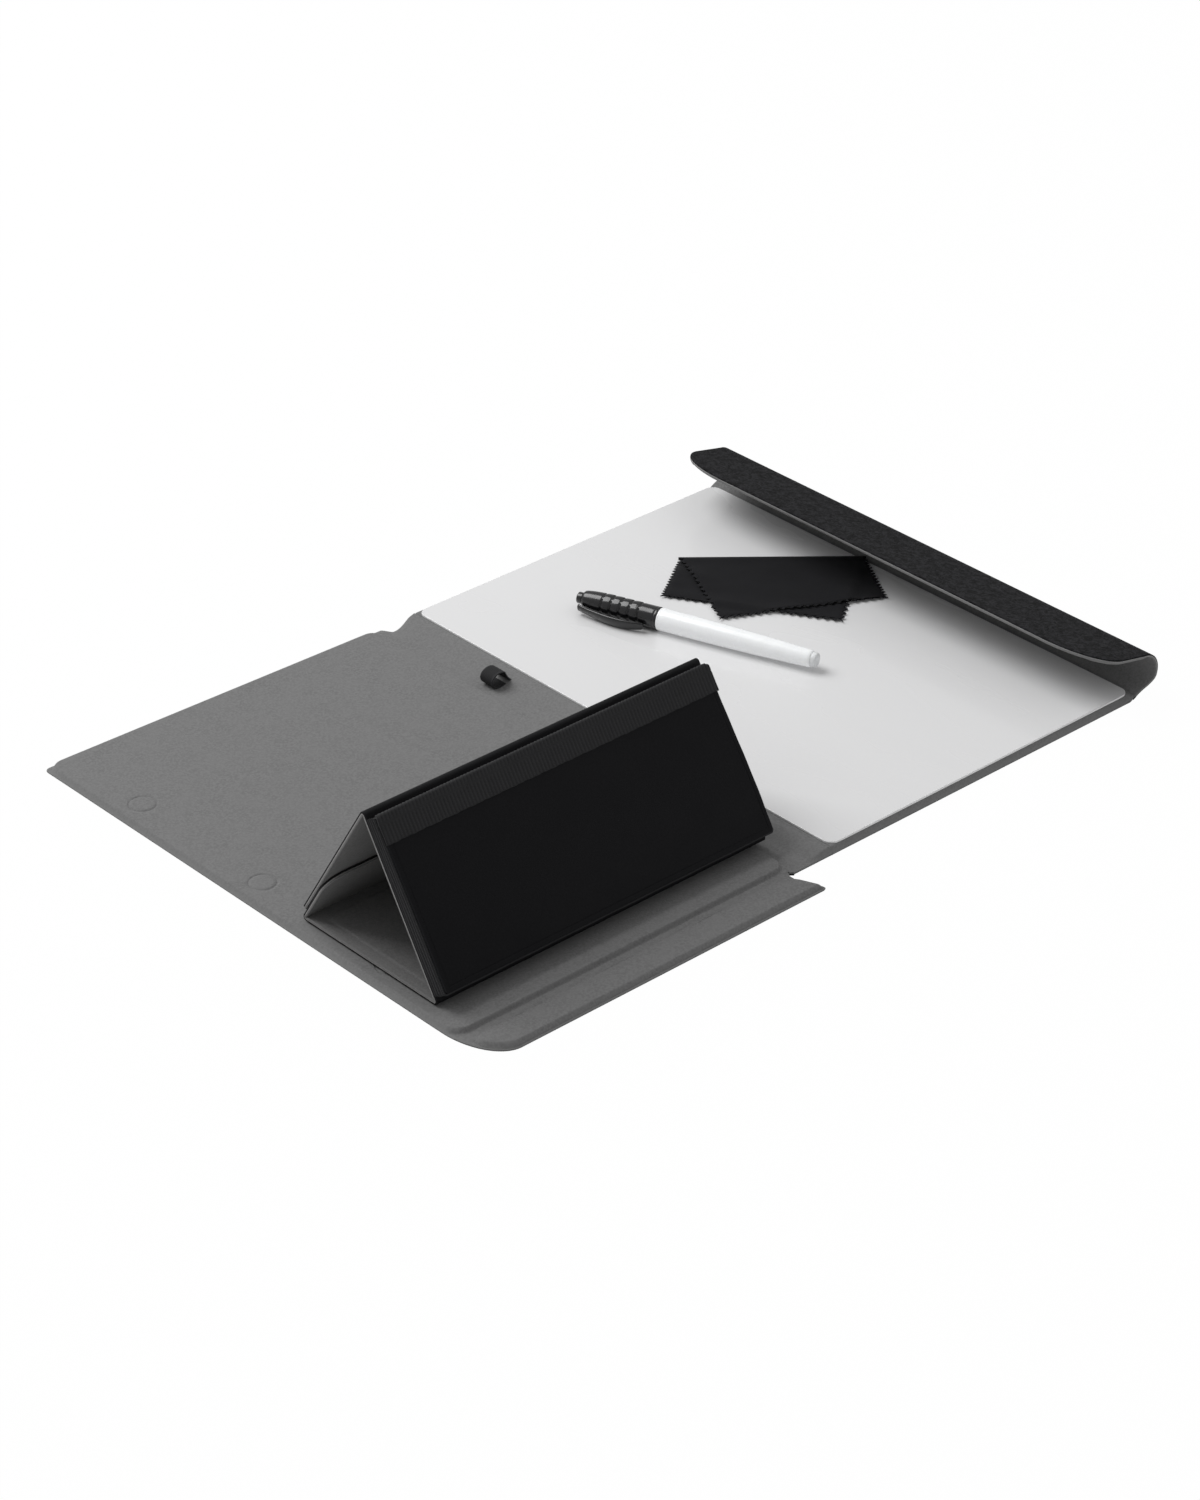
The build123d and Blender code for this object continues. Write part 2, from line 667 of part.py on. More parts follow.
def leaf_layer(plane, length, low, high, inset=0, corner=None, mode=Mode.ADD):
    """One layer of a leaf between two depths. A free far end has rounded corners."""
    left = inset - STAND_LENGTH / 2
    with BuildSketch(plane.offset(low)) as outline:
        with BuildLine():
            points = rectangle(left, -left, inset + LEAF_GAP / 2, length - inset - LEAF_GAP / 2)
            Polyline(*points, close=True)
        make_face()
        if corner:
            fillet(outline.vertices().group_by(Axis.Y)[-1], corner)
    extrude(outline.sketch, amount=high - low, mode=mode)


def pressed_outline(plane, length):
    """Press the outline of the board under a lining into the lining's free face."""
    width = STAND_LENGTH - 2 * OUTLINE_INSET
    height = length - 2 * OUTLINE_INSET
    with BuildSketch(plane) as groove:
        with Locations((0, length / 2)):
            RectangleRounded(width, height, OUTLINE_ROUND)
            RectangleRounded(
                width - 2 * OUTLINE_WIDTH,
                height - 2 * OUTLINE_WIDTH,
                OUTLINE_ROUND - OUTLINE_WIDTH,
                mode=Mode.SUBTRACT,
            )
    extrude(groove.sketch, amount=OUTLINE_DEPTH, mode=Mode.SUBTRACT)


def pressed_rings(plane, up):
    """Press the two rings of a leaf's magnets into its lining."""
    with BuildSketch(plane) as groove:
        with Locations(*[(side * LATCH_PITCH / 2, up) for side in (-1, 1)]):
            Circle(LATCH_RADIUS + OUTLINE_WIDTH)
            Circle(LATCH_RADIUS, mode=Mode.SUBTRACT)
    extrude(groove.sketch, amount=OUTLINE_DEPTH, mode=Mode.SUBTRACT)


def latch_discs(plane, up, mode=Mode.ADD):
    """The two magnets of a leaf, in its core board."""
    with Locations(plane):
        middle = LEAF_SKIN + LEAF_CORE / 2
        with Locations(*[(side * LATCH_PITCH / 2, up, middle) for side in (-1, 1)]):
            Cylinder(LATCH_RADIUS, LATCH_THICK, mode=mode)


def leaf(name, plane, length, corner=None, latch=None, outline=False):
    """A leaf of the stand: lining on the inner face, core board, and the wrapped cover."""
    core = LEAF_SKIN, LEAF_SKIN + LEAF_CORE, LEAF_BORDER
    with BuildPart() as leaf_lining:
        leaf_layer(plane, length, 0, LEAF_SKIN, corner=corner)
        if outline:
            pressed_outline(plane, length)
        if latch:
            pressed_rings(plane, latch)
    keep(leaf_lining, f"{name}_lining")
    with BuildPart() as leaf_board:
        leaf_layer(plane, length, *core, corner=corner)
        if latch:
            latch_discs(plane, latch, mode=Mode.SUBTRACT)
    keep(leaf_board, f"{name}_board")
    with BuildPart() as leaf_cover:
        leaf_layer(plane, length, LEAF_SKIN, LEAF_THICK, corner=corner)
        leaf_layer(plane, length, *core, corner=corner, mode=Mode.SUBTRACT)
    keep(leaf_cover, f"{name}_cover")
    if latch:
        with BuildPart() as leaf_magnets:
            latch_discs(plane, latch)
        keep(leaf_magnets, f"{name}_magnets")


latch_point = Vector(tab_y - LATCH_UP * back_cosine, BASE_TOP + LATCH_UP * back_sine)
apex = Vector(apex_y, apex_z)
back_latch = (latch_point - apex).dot(Vector(back_cosine, -back_sine))
leaf("stand_base", base_plane, base_length, outline=True)
leaf("front_leg", front_plane, FRONT_LEG)
leaf("back_leg", back_plane, BACK_LEG, corner=LEAF_CORNER, latch=back_latch)
leaf("tab", tab_plane, TAB_LENGTH, corner=TAB_CORNER, latch=LATCH_UP)

with BuildPart() as stand_glue_pad:
    pad_outline = rectangle(
        STAND_LEFT + GLUE_BORDER,
        STAND_PANEL_RIGHT - GLUE_BORDER_SPINE,
        BASE_FRONT + GLUE_BORDER,
        tab_y - GLUE_BORDER,
    )
    slab(pad_outline, PANEL_THICK, PANEL_THICK + GLUE_THICK)
keep(stand_glue_pad, "stand_glue_pad")


# Elastic pocket, on the front leg's plane
pocket_face_low = LEAF_THICK + POCKET_DEPTH
pocket_face_high = pocket_face_low + FACE_THICK
pocket_half = STAND_LENGTH / 2
face_half = pocket_half - FACE_INSET
face_bottom = POCKET_BOTTOM + FACE_INSET

with BuildPart() as pocket_gusset:
    with BuildSketch(front_plane.offset(LEAF_THICK)) as gusset_outline:
        with BuildLine():
            Polyline(*rectangle(-pocket_half, pocket_half, POCKET_BOTTOM, POCKET_TOP), close=True)
        make_face()
        fillet(gusset_outline.vertices().group_by(Axis.Y)[0], FACE_CORNER)
        fillet(gusset_outline.vertices().group_by(Axis.Y)[-1], POCKET_CORNER - BAND_THICK)
    extrude(amount=POCKET_DEPTH)
    with BuildSketch(front_plane.offset(LEAF_THICK)) as gusset_hollow:
        inner_half = pocket_half - GUSSET_WALL
        inner_bottom = POCKET_BOTTOM + GUSSET_WALL
        with BuildLine():
            Polyline(*rectangle(-inner_half, inner_half, inner_bottom, POCKET_TOP), close=True)
        make_face()
        fillet(gusset_hollow.vertices().group_by(Axis.Y)[0], FACE_CORNER - GUSSET_WALL)
    extrude(amount=POCKET_DEPTH, mode=Mode.SUBTRACT)
keep(pocket_gusset, "pocket_gusset")

with BuildPart() as pocket_face:
    with BuildSketch(front_plane.offset(pocket_face_low)) as face_outline:
        with BuildLine():
            Polyline(*rectangle(-face_half, face_half, face_bottom, FACE_TOP), close=True)
        make_face()
        fillet(face_outline.vertices().group_by(Axis.Y)[0], FACE_CORNER)
    extrude(amount=FACE_THICK)
    with BuildSketch(front_plane.offset(pocket_face_high)):
        with BuildLine():
            side = face_half - SEAM_INSET
            seam = FilletPolyline(
                (-side, FACE_TOP),
                (-side, face_bottom + SEAM_INSET),
                (side, face_bottom + SEAM_INSET),
                (side, FACE_TOP),
                radius=FACE_CORNER - SEAM_INSET,
            )
        trace(seam, SEAM_WIDTH)
    extrude(amount=-SEAM_DEPTH, mode=Mode.SUBTRACT)
keep(pocket_face, "pocket_face")

with BuildPart() as pocket_band:
    band_plane = Plane(
        origin=front_plane.origin - Vector(pocket_half, 0, 0),
        x_dir=front_plane.y_dir,
        z_dir=(1, 0, 0),
    )
    band_high = pocket_face_high + BAND_THICK
    hem_low = LEAF_THICK + POCKET_MOUTH
    with BuildSketch(band_plane):
        with BuildLine():
            Polyline(
                (FACE_TOP - BAND_LAP, pocket_face_high),
                (FACE_TOP - BAND_LAP, band_high),
                (POCKET_TOP + BAND_THICK, band_high),
                (POCKET_TOP + BAND_THICK, hem_low),
                (POCKET_TOP, hem_low),
                (POCKET_TOP, pocket_face_low),
                (FACE_TOP + BAND_GAP, pocket_face_low),
                (FACE_TOP + BAND_GAP, pocket_face_high),
                close=True,
            )
        make_face()
    extrude(amount=STAND_LENGTH)
    with BuildSketch(front_plane) as band_front:
        with BuildLine():
            Polyline(*rectangle(-pocket_half, pocket_half, 0, POCKET_TOP + BAND_THICK), close=True)
        make_face()
        fillet(band_front.vertices().group_by(Axis.Y)[-1], POCKET_CORNER)
    extrude(band_front.sketch, amount=band_high, mode=Mode.INTERSECT)
keep(pocket_band, "pocket_band")


# Marker: x is along its axis from the plug and y is its radius
marker_x = Vector(*cos_sin(MARKER_HEADING))
marker_plane = Plane(
    origin=(*PLUG_END, SHEET_TOP + REST_GAP + CAP_RADIUS),
    x_dir=marker_x,
    z_dir=(marker_x.Y, -marker_x.X, 0),
)
marker_axis = Axis(marker_plane.origin, marker_plane.x_dir)
mouth = PLUG_LENGTH + BARREL_LENGTH
bore = BARREL_RADIUS - BARREL_WALL
end_bore = BARREL_END_RADIUS - BARREL_WALL
cap_bore = CAP_RADIUS - CAP_WALL
neck_radius = cap_bore - CAP_FIT
cap_mouth = mouth + CAP_FIT
cap_end = cap_mouth + CAP_DEPTH + CAP_END_THICK


def turned(points, mode=Mode.ADD):
    """A piece turned about the marker's axis from its half section."""
    with BuildSketch(marker_plane) as half_section:
        with BuildLine():
            Polyline(*points, close=True)
        make_face()
    revolve(half_section.sketch, axis=marker_axis, mode=mode)


def rings(builder, position):
    """The round edges of a turned piece at one place along the axis."""
    found = builder.edges().filter_by(GeomType.CIRCLE)
    place = marker_plane.origin + marker_plane.x_dir * position
    return [e for e in found if abs((e.arc_center - place).dot(marker_plane.x_dir)) < 1e-3]


with BuildPart() as marker_barrel:
    taper_end = PLUG_LENGTH + BARREL_TAPER
    turned(
        [
            (PLUG_LENGTH, end_bore),
            (PLUG_LENGTH, BARREL_END_RADIUS),
            (taper_end, BARREL_RADIUS),
            (mouth, BARREL_RADIUS),
            (mouth, bore),
            (taper_end, bore),
        ]
    )
    outer_ring = max(rings(marker_barrel, PLUG_LENGTH), key=lambda ring: ring.radius)
    chamfer(outer_ring, BARREL_ROUND)
keep(marker_barrel, "marker_barrel")

with BuildPart() as marker_end_plug:
    turned(
        [
            (0, 0),
            (0, PLUG_RADIUS),
            (PLUG_LENGTH, PLUG_RADIUS),
            (PLUG_LENGTH, end_bore),
            (PLUG_LENGTH + PLUG_SPIGOT, end_bore),
            (PLUG_LENGTH + PLUG_SPIGOT, 0),
        ]
    )
    chamfer(rings(marker_end_plug, 0), PLUG_ROUND)
keep(marker_end_plug, "marker_end_plug")

core_start = PLUG_LENGTH + PLUG_SPIGOT
core_end_x = mouth - HOLDER_SPIGOT
with BuildPart() as marker_ink_core:
    turned([(core_start, 0), (core_start, end_bore), (core_end_x, end_bore), (core_end_x, 0)])
keep(marker_ink_core, "marker_ink_core")

with BuildPart() as marker_nib_holder:
    neck_end = mouth + NECK_LENGTH
    turned(
        [
            (core_end_x, NIB_RADIUS),
            (core_end_x, bore),
            (mouth, bore),
            (mouth, neck_radius),
            (neck_end, neck_radius),
            (neck_end + HOLDER_CONE, HOLDER_TIP_RADIUS),
            (neck_end + HOLDER_CONE, NIB_RADIUS),
        ]
    )
keep(marker_nib_holder, "marker_nib_holder")

with BuildPart() as marker_nib:
    nib_end = mouth + NECK_LENGTH + HOLDER_CONE + NIB_LENGTH
    turned([(core_end_x, 0), (core_end_x, NIB_RADIUS), (nib_end, NIB_RADIUS), (nib_end, 0)])
    chamfer(rings(marker_nib, nib_end), NIB_ROUND)
keep(marker_nib, "marker_nib")

clip_cosine, clip_sine = cos_sin(CLIP_TURN)
clip_plane = Plane(
    origin=marker_plane.origin,
    x_dir=marker_plane.x_dir,
    z_dir=marker_plane.z_dir * clip_sine + Vector(0, 0, clip_cosine),
)
clip_view = Plane(origin=clip_plane.origin, x_dir=clip_plane.x_dir, z_dir=clip_plane.y_dir)
clip_low = CAP_RADIUS + CLIP_GAP
clip_high = clip_low + CLIP_THICK
clip_tip = cap_mouth + CLIP_START
clip_root = cap_end - CAP_ROUND - CLIP_ROOT


def cap_radius(along):
    """The cap's radius at a distance from its mouth."""
    return CAP_RADIUS - (CAP_RADIUS - CAP_END_RADIUS) * along / (cap_end - cap_mouth)


def grip_groove(number):
    """The four points of one grip groove in the cap's half section."""
    middle = GROOVE_START + number * GROOVE_PITCH
    steps = ((-1 / 2, 0), (-1 / 4, GROOVE_DEPTH), (1 / 4, GROOVE_DEPTH), (1 / 2, 0))
    return [
        (cap_mouth + middle + share * GROOVE_WIDTH, cap_radius(middle) - depth)
        for share, depth in steps
    ]


with BuildPart() as marker_cap:
    cap_outside = [(cap_mouth, 0), (cap_mouth, CAP_RADIUS)]
    for number in range(GROOVE_COUNT):
        cap_outside += grip_groove(number)
    turned(cap_outside + [(cap_end, CAP_END_RADIUS), (cap_end, 0)])
    chamfer(rings(marker_cap, cap_end), CAP_ROUND)
    with BuildSketch(clip_plane) as clip_side:
        with BuildLine():
            clip_middle = (clip_tip + clip_root) / 2
            Line((clip_root + CLIP_ROOT, cap_bore), (clip_root, cap_bore))
            Line((clip_root, cap_bore), (clip_root, clip_low))
            ThreePointArc((clip_root, clip_low), (clip_middle, clip_low + CLIP_RISE), (clip_tip, clip_low))
            nose = (clip_tip - CLIP_THICK / 2, clip_low + CLIP_THICK / 2)
            ThreePointArc((clip_tip, clip_low), nose, (clip_tip, clip_high))
            back = ThreePointArc(
                (clip_tip, clip_high), (clip_middle, clip_high + CLIP_RISE), (clip_root, clip_high)
            )
            TangentArc((clip_root, clip_high), (clip_root + CLIP_ROOT, cap_bore), tangent=back % 1)
        make_face()
    with BuildSketch(clip_view) as clip_outline:
        with BuildLine():
            wide, narrow = CLIP_WIDTH / 2, CLIP_TIP_WIDTH / 2
            end = clip_root + CLIP_ROOT
            start = clip_tip - CLIP_THICK
            Polyline(
                (start, narrow),
                (clip_root, wide),
                (end, wide),
                (end, -wide),
                (clip_root, -wide),
                (start, -narrow),
                close=True,
            )
        make_face()
    clip = extrude(clip_side.sketch, amount=CLIP_WIDTH, both=True, mode=Mode.PRIVATE)
    plan = extrude(clip_outline.sketch, amount=2 * clip_high + CLIP_RISE, mode=Mode.PRIVATE)
    add(clip & plan)
    button_end = cap_end + BUTTON_LENGTH
    button_start = cap_end - CAP_ROUND
    turned(
        [
            (button_start, 0),
            (button_start, BUTTON_RADIUS),
            (button_end, BUTTON_RADIUS),
            (button_end, 0),
        ]
    )
    chamfer(rings(marker_cap, button_end), BUTTON_ROUND)
    bore_end = cap_mouth + CAP_DEPTH
    bore_section = [(cap_mouth, 0), (cap_mouth, cap_bore), (bore_end, cap_bore), (bore_end, 0)]
    turned(bore_section, mode=Mode.SUBTRACT)
keep(marker_cap, "marker_cap")


# Wiping cloth: a lower and an upper layer that meet at the fold, pinked on the cut edges
def pinked(start, end, inside):
    """A cut edge from its first corner almost to its last, with even teeth cut inward."""
    run = end - start
    count = max(1, round(run.length / CLOTH_TOOTH))
    square = Vector(-run.Y, run.X).normalized() * TOOTH_DEPTH
    if square.dot(inside - start) < 0:
        square = -square
    points = []
    for tooth in range(count):
        points.append(start + run * (tooth / count))
        points.append(start + run * ((tooth + 0.5) / count) + square)
    return points


def cloth_layer(corners, low):
    """One layer of the folded cloth, from the fold to its two free corners."""
    fold_start, fold_end, far_end, far_start = [
        Vector(BOARD_RIGHT - BORDER_FLAP + x, y) for x, y in CLOTH_FOLD + corners
    ]
    inside = (fold_start + far_end) / 2
    outline = [fold_start]
    for start, end in ((fold_end, far_end), (far_end, far_start), (far_start, fold_start)):
        outline += pinked(start, end, inside)
    slab([(point.X, point.Y) for point in outline], low, low + CLOTH_THICK)


with BuildPart() as wiping_cloth:
    cloth_low = SHEET_TOP + REST_GAP
    cloth_layer(LOWER_CORNERS, cloth_low)
    cloth_layer(UPPER_CORNERS, cloth_low + CLOTH_THICK)
keep(wiping_cloth, "wiping_cloth")
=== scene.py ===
"""Dresses the open whiteboard folio: cloth skins, folding stand, marker and wiping cloth."""

import json
import math

import bmesh
import bpy
import numpy as np
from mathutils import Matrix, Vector


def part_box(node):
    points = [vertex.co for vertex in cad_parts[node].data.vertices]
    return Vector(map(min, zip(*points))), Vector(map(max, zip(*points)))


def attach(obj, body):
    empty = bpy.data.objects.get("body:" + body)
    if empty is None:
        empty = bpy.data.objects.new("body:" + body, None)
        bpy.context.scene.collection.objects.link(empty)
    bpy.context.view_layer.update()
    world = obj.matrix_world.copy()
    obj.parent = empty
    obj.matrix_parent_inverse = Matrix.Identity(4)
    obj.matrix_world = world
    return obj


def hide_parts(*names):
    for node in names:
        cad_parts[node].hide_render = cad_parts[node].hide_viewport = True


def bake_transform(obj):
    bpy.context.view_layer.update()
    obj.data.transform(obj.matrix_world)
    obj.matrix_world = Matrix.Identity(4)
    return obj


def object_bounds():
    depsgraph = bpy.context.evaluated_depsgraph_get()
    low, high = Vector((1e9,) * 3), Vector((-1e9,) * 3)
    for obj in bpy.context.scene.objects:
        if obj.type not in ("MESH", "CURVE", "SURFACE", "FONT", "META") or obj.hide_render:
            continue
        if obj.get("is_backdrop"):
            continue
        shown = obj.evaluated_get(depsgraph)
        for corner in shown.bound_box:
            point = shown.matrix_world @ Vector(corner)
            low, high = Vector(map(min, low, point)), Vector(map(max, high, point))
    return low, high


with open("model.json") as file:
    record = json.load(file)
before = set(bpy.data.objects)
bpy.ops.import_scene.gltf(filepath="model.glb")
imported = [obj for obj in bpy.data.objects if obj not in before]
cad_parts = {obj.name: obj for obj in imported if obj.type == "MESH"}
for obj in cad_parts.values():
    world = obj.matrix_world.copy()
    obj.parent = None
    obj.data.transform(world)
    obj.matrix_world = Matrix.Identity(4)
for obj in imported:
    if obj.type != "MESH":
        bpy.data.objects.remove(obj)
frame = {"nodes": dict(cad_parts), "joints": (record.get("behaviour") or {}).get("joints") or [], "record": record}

bl_info = {
    "name": "Desktop Whiteboard Folio",
    "version": (1, 0, 0),
    "blender": (4, 5, 0),
    "location": "3D View > Sidebar > Folio",
    "description": "Builds the skins, the folding stand, the marker and the cloth of the folio",
    "category": "Object",
}

CAD_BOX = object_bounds()
MM = 0.001
FINISHES = {}
PLAIN_BANDS = ((1.0, 0),)
WHITE = (1.0, 1.0, 1.0, 1.0)


def length_property(name, description, default):
    """A length that the user may change."""
    return bpy.props.FloatProperty(
        name=name, description=description, default=default, unit="LENGTH"
    )


class FolioSizes(bpy.types.PropertyGroup):
    """Sizes of the two panels, the spine, the lip and the closing flap."""

    panel_thickness: length_property(
        "Panel thickness",
        "Height of the lining above the desk over a stiff board",
        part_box("board_panel_liner")[1][2],
    )
    strip_thickness: length_property(
        "Strip thickness",
        "Height of the lining above the desk over a flexible strip",
        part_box("spine_liner")[1][2],
    )
    board_step: length_property(
        "Board step", "Run over which the lining drops from a board to a strip", 0.0022
    )
    edge_round: length_property(
        "Edge rounding", "Rounding of the folio's upper outer edges", 0.0014
    )
    ring_depth: length_property(
        "Magnet ring depth",
        "Depth of the ring that each closing magnet presses into the lining",
        0.00045,
    )
    sheet_corner: length_property("Sheet corner", "Corner radius of the writing sheet", 0.0055)
    flap_taper: bpy.props.FloatVectorProperty(
        name="Flap taper",
        description="Width and length of the curve that cuts away the flap's free corners",
        size=2,
        default=(0.018, 0.036),
        unit="LENGTH",
    )


class StandSizes(bpy.types.PropertyGroup):
    """Sizes of the folding stand and its elastic pocket."""

    leaf_thickness: length_property("Leaf thickness", "Thickness of each leaf of the stand", 0.002)
    back_lean: bpy.props.FloatProperty(
        name="Back lean",
        description="Angle between the back leg and the desk",
        default=math.radians(58),
        subtype="ANGLE",
    )
    back_leg: length_property("Back leg", "Length of the back leg from the top fold", 0.0825)
    tab_length: length_property("Tab length", "Length of the tab that holds the back leg", 0.031)
    tab_corner: length_property(
        "Tab corner", "Corner radius of the tab that holds the back leg", 0.010
    )
    pleats: bpy.props.IntProperty(
        name="Pleats",
        description="Number of folds across the pocket's sides",
        default=4,
        min=1,
    )
    rib_pitch: length_property(
        "Rib pitch", "Distance between two ribs of the pocket's elastic band", 0.00195
    )
    rib_depth: length_property(
        "Rib depth", "Depth of the grooves between the ribs of the elastic band", 0.00042
    )


class MarkerSizes(bpy.types.PropertyGroup):
    """Sizes of the whiteboard marker."""

    barrel_radius: length_property(
        "Barrel radius", "Radius of the marker's barrel beside its cap", 0.0058
    )
    cap_radius: length_property("Cap radius", "Radius of the cap's mouth", 0.0059)
    grip_depth: length_property("Grip depth", "Depth of the cap's grip grooves", 0.00055)
    clip_turn: bpy.props.FloatProperty(
        name="Clip turn",
        description="Angle of the clip above the sheet, on the side of the spine",
        default=math.radians(-19),
        subtype="ANGLE",
    )
    clip_rise: length_property(
        "Clip rise", "How far the clip bows away from the cap in its middle", 0.0024
    )


class ClothSizes(bpy.types.PropertyGroup):
    """Sizes of the folded wiping cloth."""

    thickness: length_property("Cloth thickness", "Thickness of one layer of the cloth", 0.00055)
    tooth: length_property("Tooth pitch", "Distance between two teeth of the pinked edge", 0.0046)
    tooth_depth: length_property("Tooth depth", "Depth of the notches between two teeth", 0.0030)
    wave: length_property(
        "Wave height", "Height of the soft waves along the cloth's free edges", 0.0012
    )


def colour_property(name, description, default):
    """A colour that the user may change."""
    return bpy.props.FloatVectorProperty(
        name=name,
        description=description,
        subtype="COLOR",
        size=3,
        min=0,
        max=1,
        default=default,
    )


class FolioColours(bpy.types.PropertyGroup):
    """Colours of the folio's finishes."""

    lining: colour_property("Lining", "Grey short-napped lining", (0.175, 0.175, 0.175))
    # the stand's lining is the panel's grey made a little darker: painted shade of the stand's shaded inside
    stand_lining: colour_property("Stand lining", "Lining of the stand", (0.157, 0.156, 0.155))
    felt: colour_property("Felt", "Black felt outside the folio", (0.0098, 0.0098, 0.0108))
    cut_edge: colour_property("Cut edge", "Pale line along cut edges", (0.30, 0.295, 0.29))
    sheet: colour_property("Sheet", "White writing sheet", (0.79, 0.79, 0.795))
    pocket: colour_property("Pocket", "Matt black face of the pocket", (0.0062, 0.0062, 0.0072))
    elastic: colour_property("Elastic", "Ribbed elastic of the pocket", (0.019, 0.019, 0.020))
    stand_cover: colour_property("Stand cover", "Black cover of the stand", (0.009, 0.009, 0.010))
    barrel: colour_property("Barrel", "White barrel of the marker", (0.86, 0.875, 0.885))
    cap: colour_property("Cap", "Black cap of the marker", (0.010, 0.010, 0.011))
    cloth: colour_property("Cloth", "Black wiping cloth", (0.0075, 0.0075, 0.0088))
    floor: colour_property("Floor", "Pale floor", (0.86, 0.86, 0.86))


def box_mm(node):
    """The lowest and highest corners of a solid at rest, in millimetres."""
    low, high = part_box(node)
    return np.array(low) / MM, np.array(high) / MM


def node_points(node):
    """The corner points of a solid, in millimetres."""
    return np.array([vertex.co for vertex in frame["nodes"][node].data.vertices]) / MM


def hinge_point(joint):
    """A point of a joint's line, in millimetres."""
    for found in frame["joints"]:
        if found["name"] == joint:
            return np.array(found["pos_m"]) / MM
    raise RuntimeError(f"the frame has no joint {joint}")


def ease(share):
    """A smooth step from 0 to 1."""
    share = np.clip(share, 0.0, 1.0)
    return share * share * (3 - 2 * share)


def quarter_round(distance, radius):
    """How far a quarter round of this radius is below the top, at a distance from the edge."""
    inward = np.clip(radius - distance, 0.0, radius)
    return radius - np.sqrt(np.maximum(radius**2 - inward**2, 0.0))


def crease_line(distance, width):
    """A soft valley of unit depth along distance 0."""
    return np.exp(-((distance / width) ** 2))


EDGE_STEPS = np.array([0.0, 0.03, 0.12, 0.28, 0.5, 0.8, 1.15, 1.5, 1.9, 2.2, 2.5, 2.8, 3.2, 4.0])


def stations(low, high, pitch, close=(), low_edge=True, high_edge=True):
    """Places from low to high, evenly spaced, and closer at the outer edges and around the
    places of close, which holds (place, reach, pitch)."""
    even = np.linspace(low, high, max(2, round((high - low) / pitch) + 1))
    fine = [low, high]
    if low_edge:
        fine += list(low + EDGE_STEPS)
    if high_edge:
        fine += list(high - EDGE_STEPS)
    for place, reach, step in close:
        fine += list(np.arange(place - reach, place + reach + step / 2, step))
    fine = [place for place in fine if low <= place <= high]
    spans = [(place - reach, place + reach) for place, reach, _ in close]
    if low_edge:
        spans.append((low, low + EDGE_STEPS[-1]))
    if high_edge:
        spans.append((high - EDGE_STEPS[-1], high))
    for place in even:
        if not any(first - pitch / 4 < place < last + pitch / 4 for first, last in spans):
            fine.append(place)
    fine = np.array(sorted(fine))
    apart = np.concatenate([[True], np.diff(fine) > 1e-4])
    return fine[apart]


def rounded_distance(across, along, corner):
    """Distance outside an outline with a round corner. Both runs are positive outside."""
    outside = np.hypot(np.maximum(across + corner, 0), np.maximum(along + corner, 0))
    return outside + np.minimum(np.maximum(across, along) + corner, 0) - corner


def round_corner(x, y, corner, radius):
    """Bring the grid points near a square corner onto a round one.
    corner is its x, its y, and the two signs that point out of the piece there."""
    corner_x, corner_y, out_x, out_y = corner
    radius_x, radius_y = np.broadcast_to(radius, 2)
    a = (x - corner_x) * out_x / radius_x + 1
    b = (y - corner_y) * out_y / radius_y + 1
    inside = (a > 0) & (b > 0)
    reach = np.maximum(a, b)
    near_x = math.pi / 4 * b / np.maximum(a, 1e-9)
    near_y = math.pi / 2 - math.pi / 4 * a / np.maximum(b, 1e-9)
    angle = np.where(a >= b, near_x, near_y)
    round_x = corner_x + out_x * radius_x * (reach * np.cos(angle) - 1)
    round_y = corner_y + out_y * radius_y * (reach * np.sin(angle) - 1)
    return np.where(inside, round_x, x), np.where(inside, round_y, y)


def round_corners(x, y, low, high, radius):
    """Round all four corners of a grid that fills a box."""
    for out_x, corner_x in ((-1, low[0]), (1, high[0])):
        for out_y, corner_y in ((-1, low[1]), (1, high[1])):
            x, y = round_corner(x, y, (corner_x, corner_y, out_x, out_y), radius)
    return x, y


def add_piece(name, points, faces, looks, finishes, wear_and_highlight=None, crisp=38):
    """A smooth mesh object from points in millimetres. finishes are the names of its
    finishes, and looks gives each face the number of its own."""
    mesh = bpy.data.meshes.new(name)
    mesh.from_pydata((np.asarray(points, float) * MM).tolist(), [], faces)
    for finish in finishes:
        mesh.materials.append(FINISHES[finish])
    mesh.polygons.foreach_set("material_index", np.asarray(looks, np.int32))
    if wear_and_highlight is not None:
        attribute = mesh.attributes.new("wear_and_highlight", "FLOAT", "POINT")
        attribute.data.foreach_set("value", np.asarray(wear_and_highlight, np.float32))
    shaped = bmesh.new()
    shaped.from_mesh(mesh)
    bmesh.ops.recalc_face_normals(shaped, faces=shaped.faces)
    shaped.to_mesh(mesh)
    shaped.free()
    mesh.polygons.foreach_set("use_smooth", np.ones(len(mesh.polygons), bool))
    mesh.set_sharp_from_angle(angle=math.radians(crisp))
    mesh.update()
    piece = bpy.data.objects.new(name, mesh)
    bpy.context.scene.collection.objects.link(piece)
    return piece


def grid_rim(rows, columns):
    """The indices around the border of a grid of points, in order."""
    index = np.arange(rows * columns).reshape(rows, columns)
    return np.concatenate([index[0, :-1], index[:-1, -1], index[-1, :0:-1], index[:0:-1, 0]])


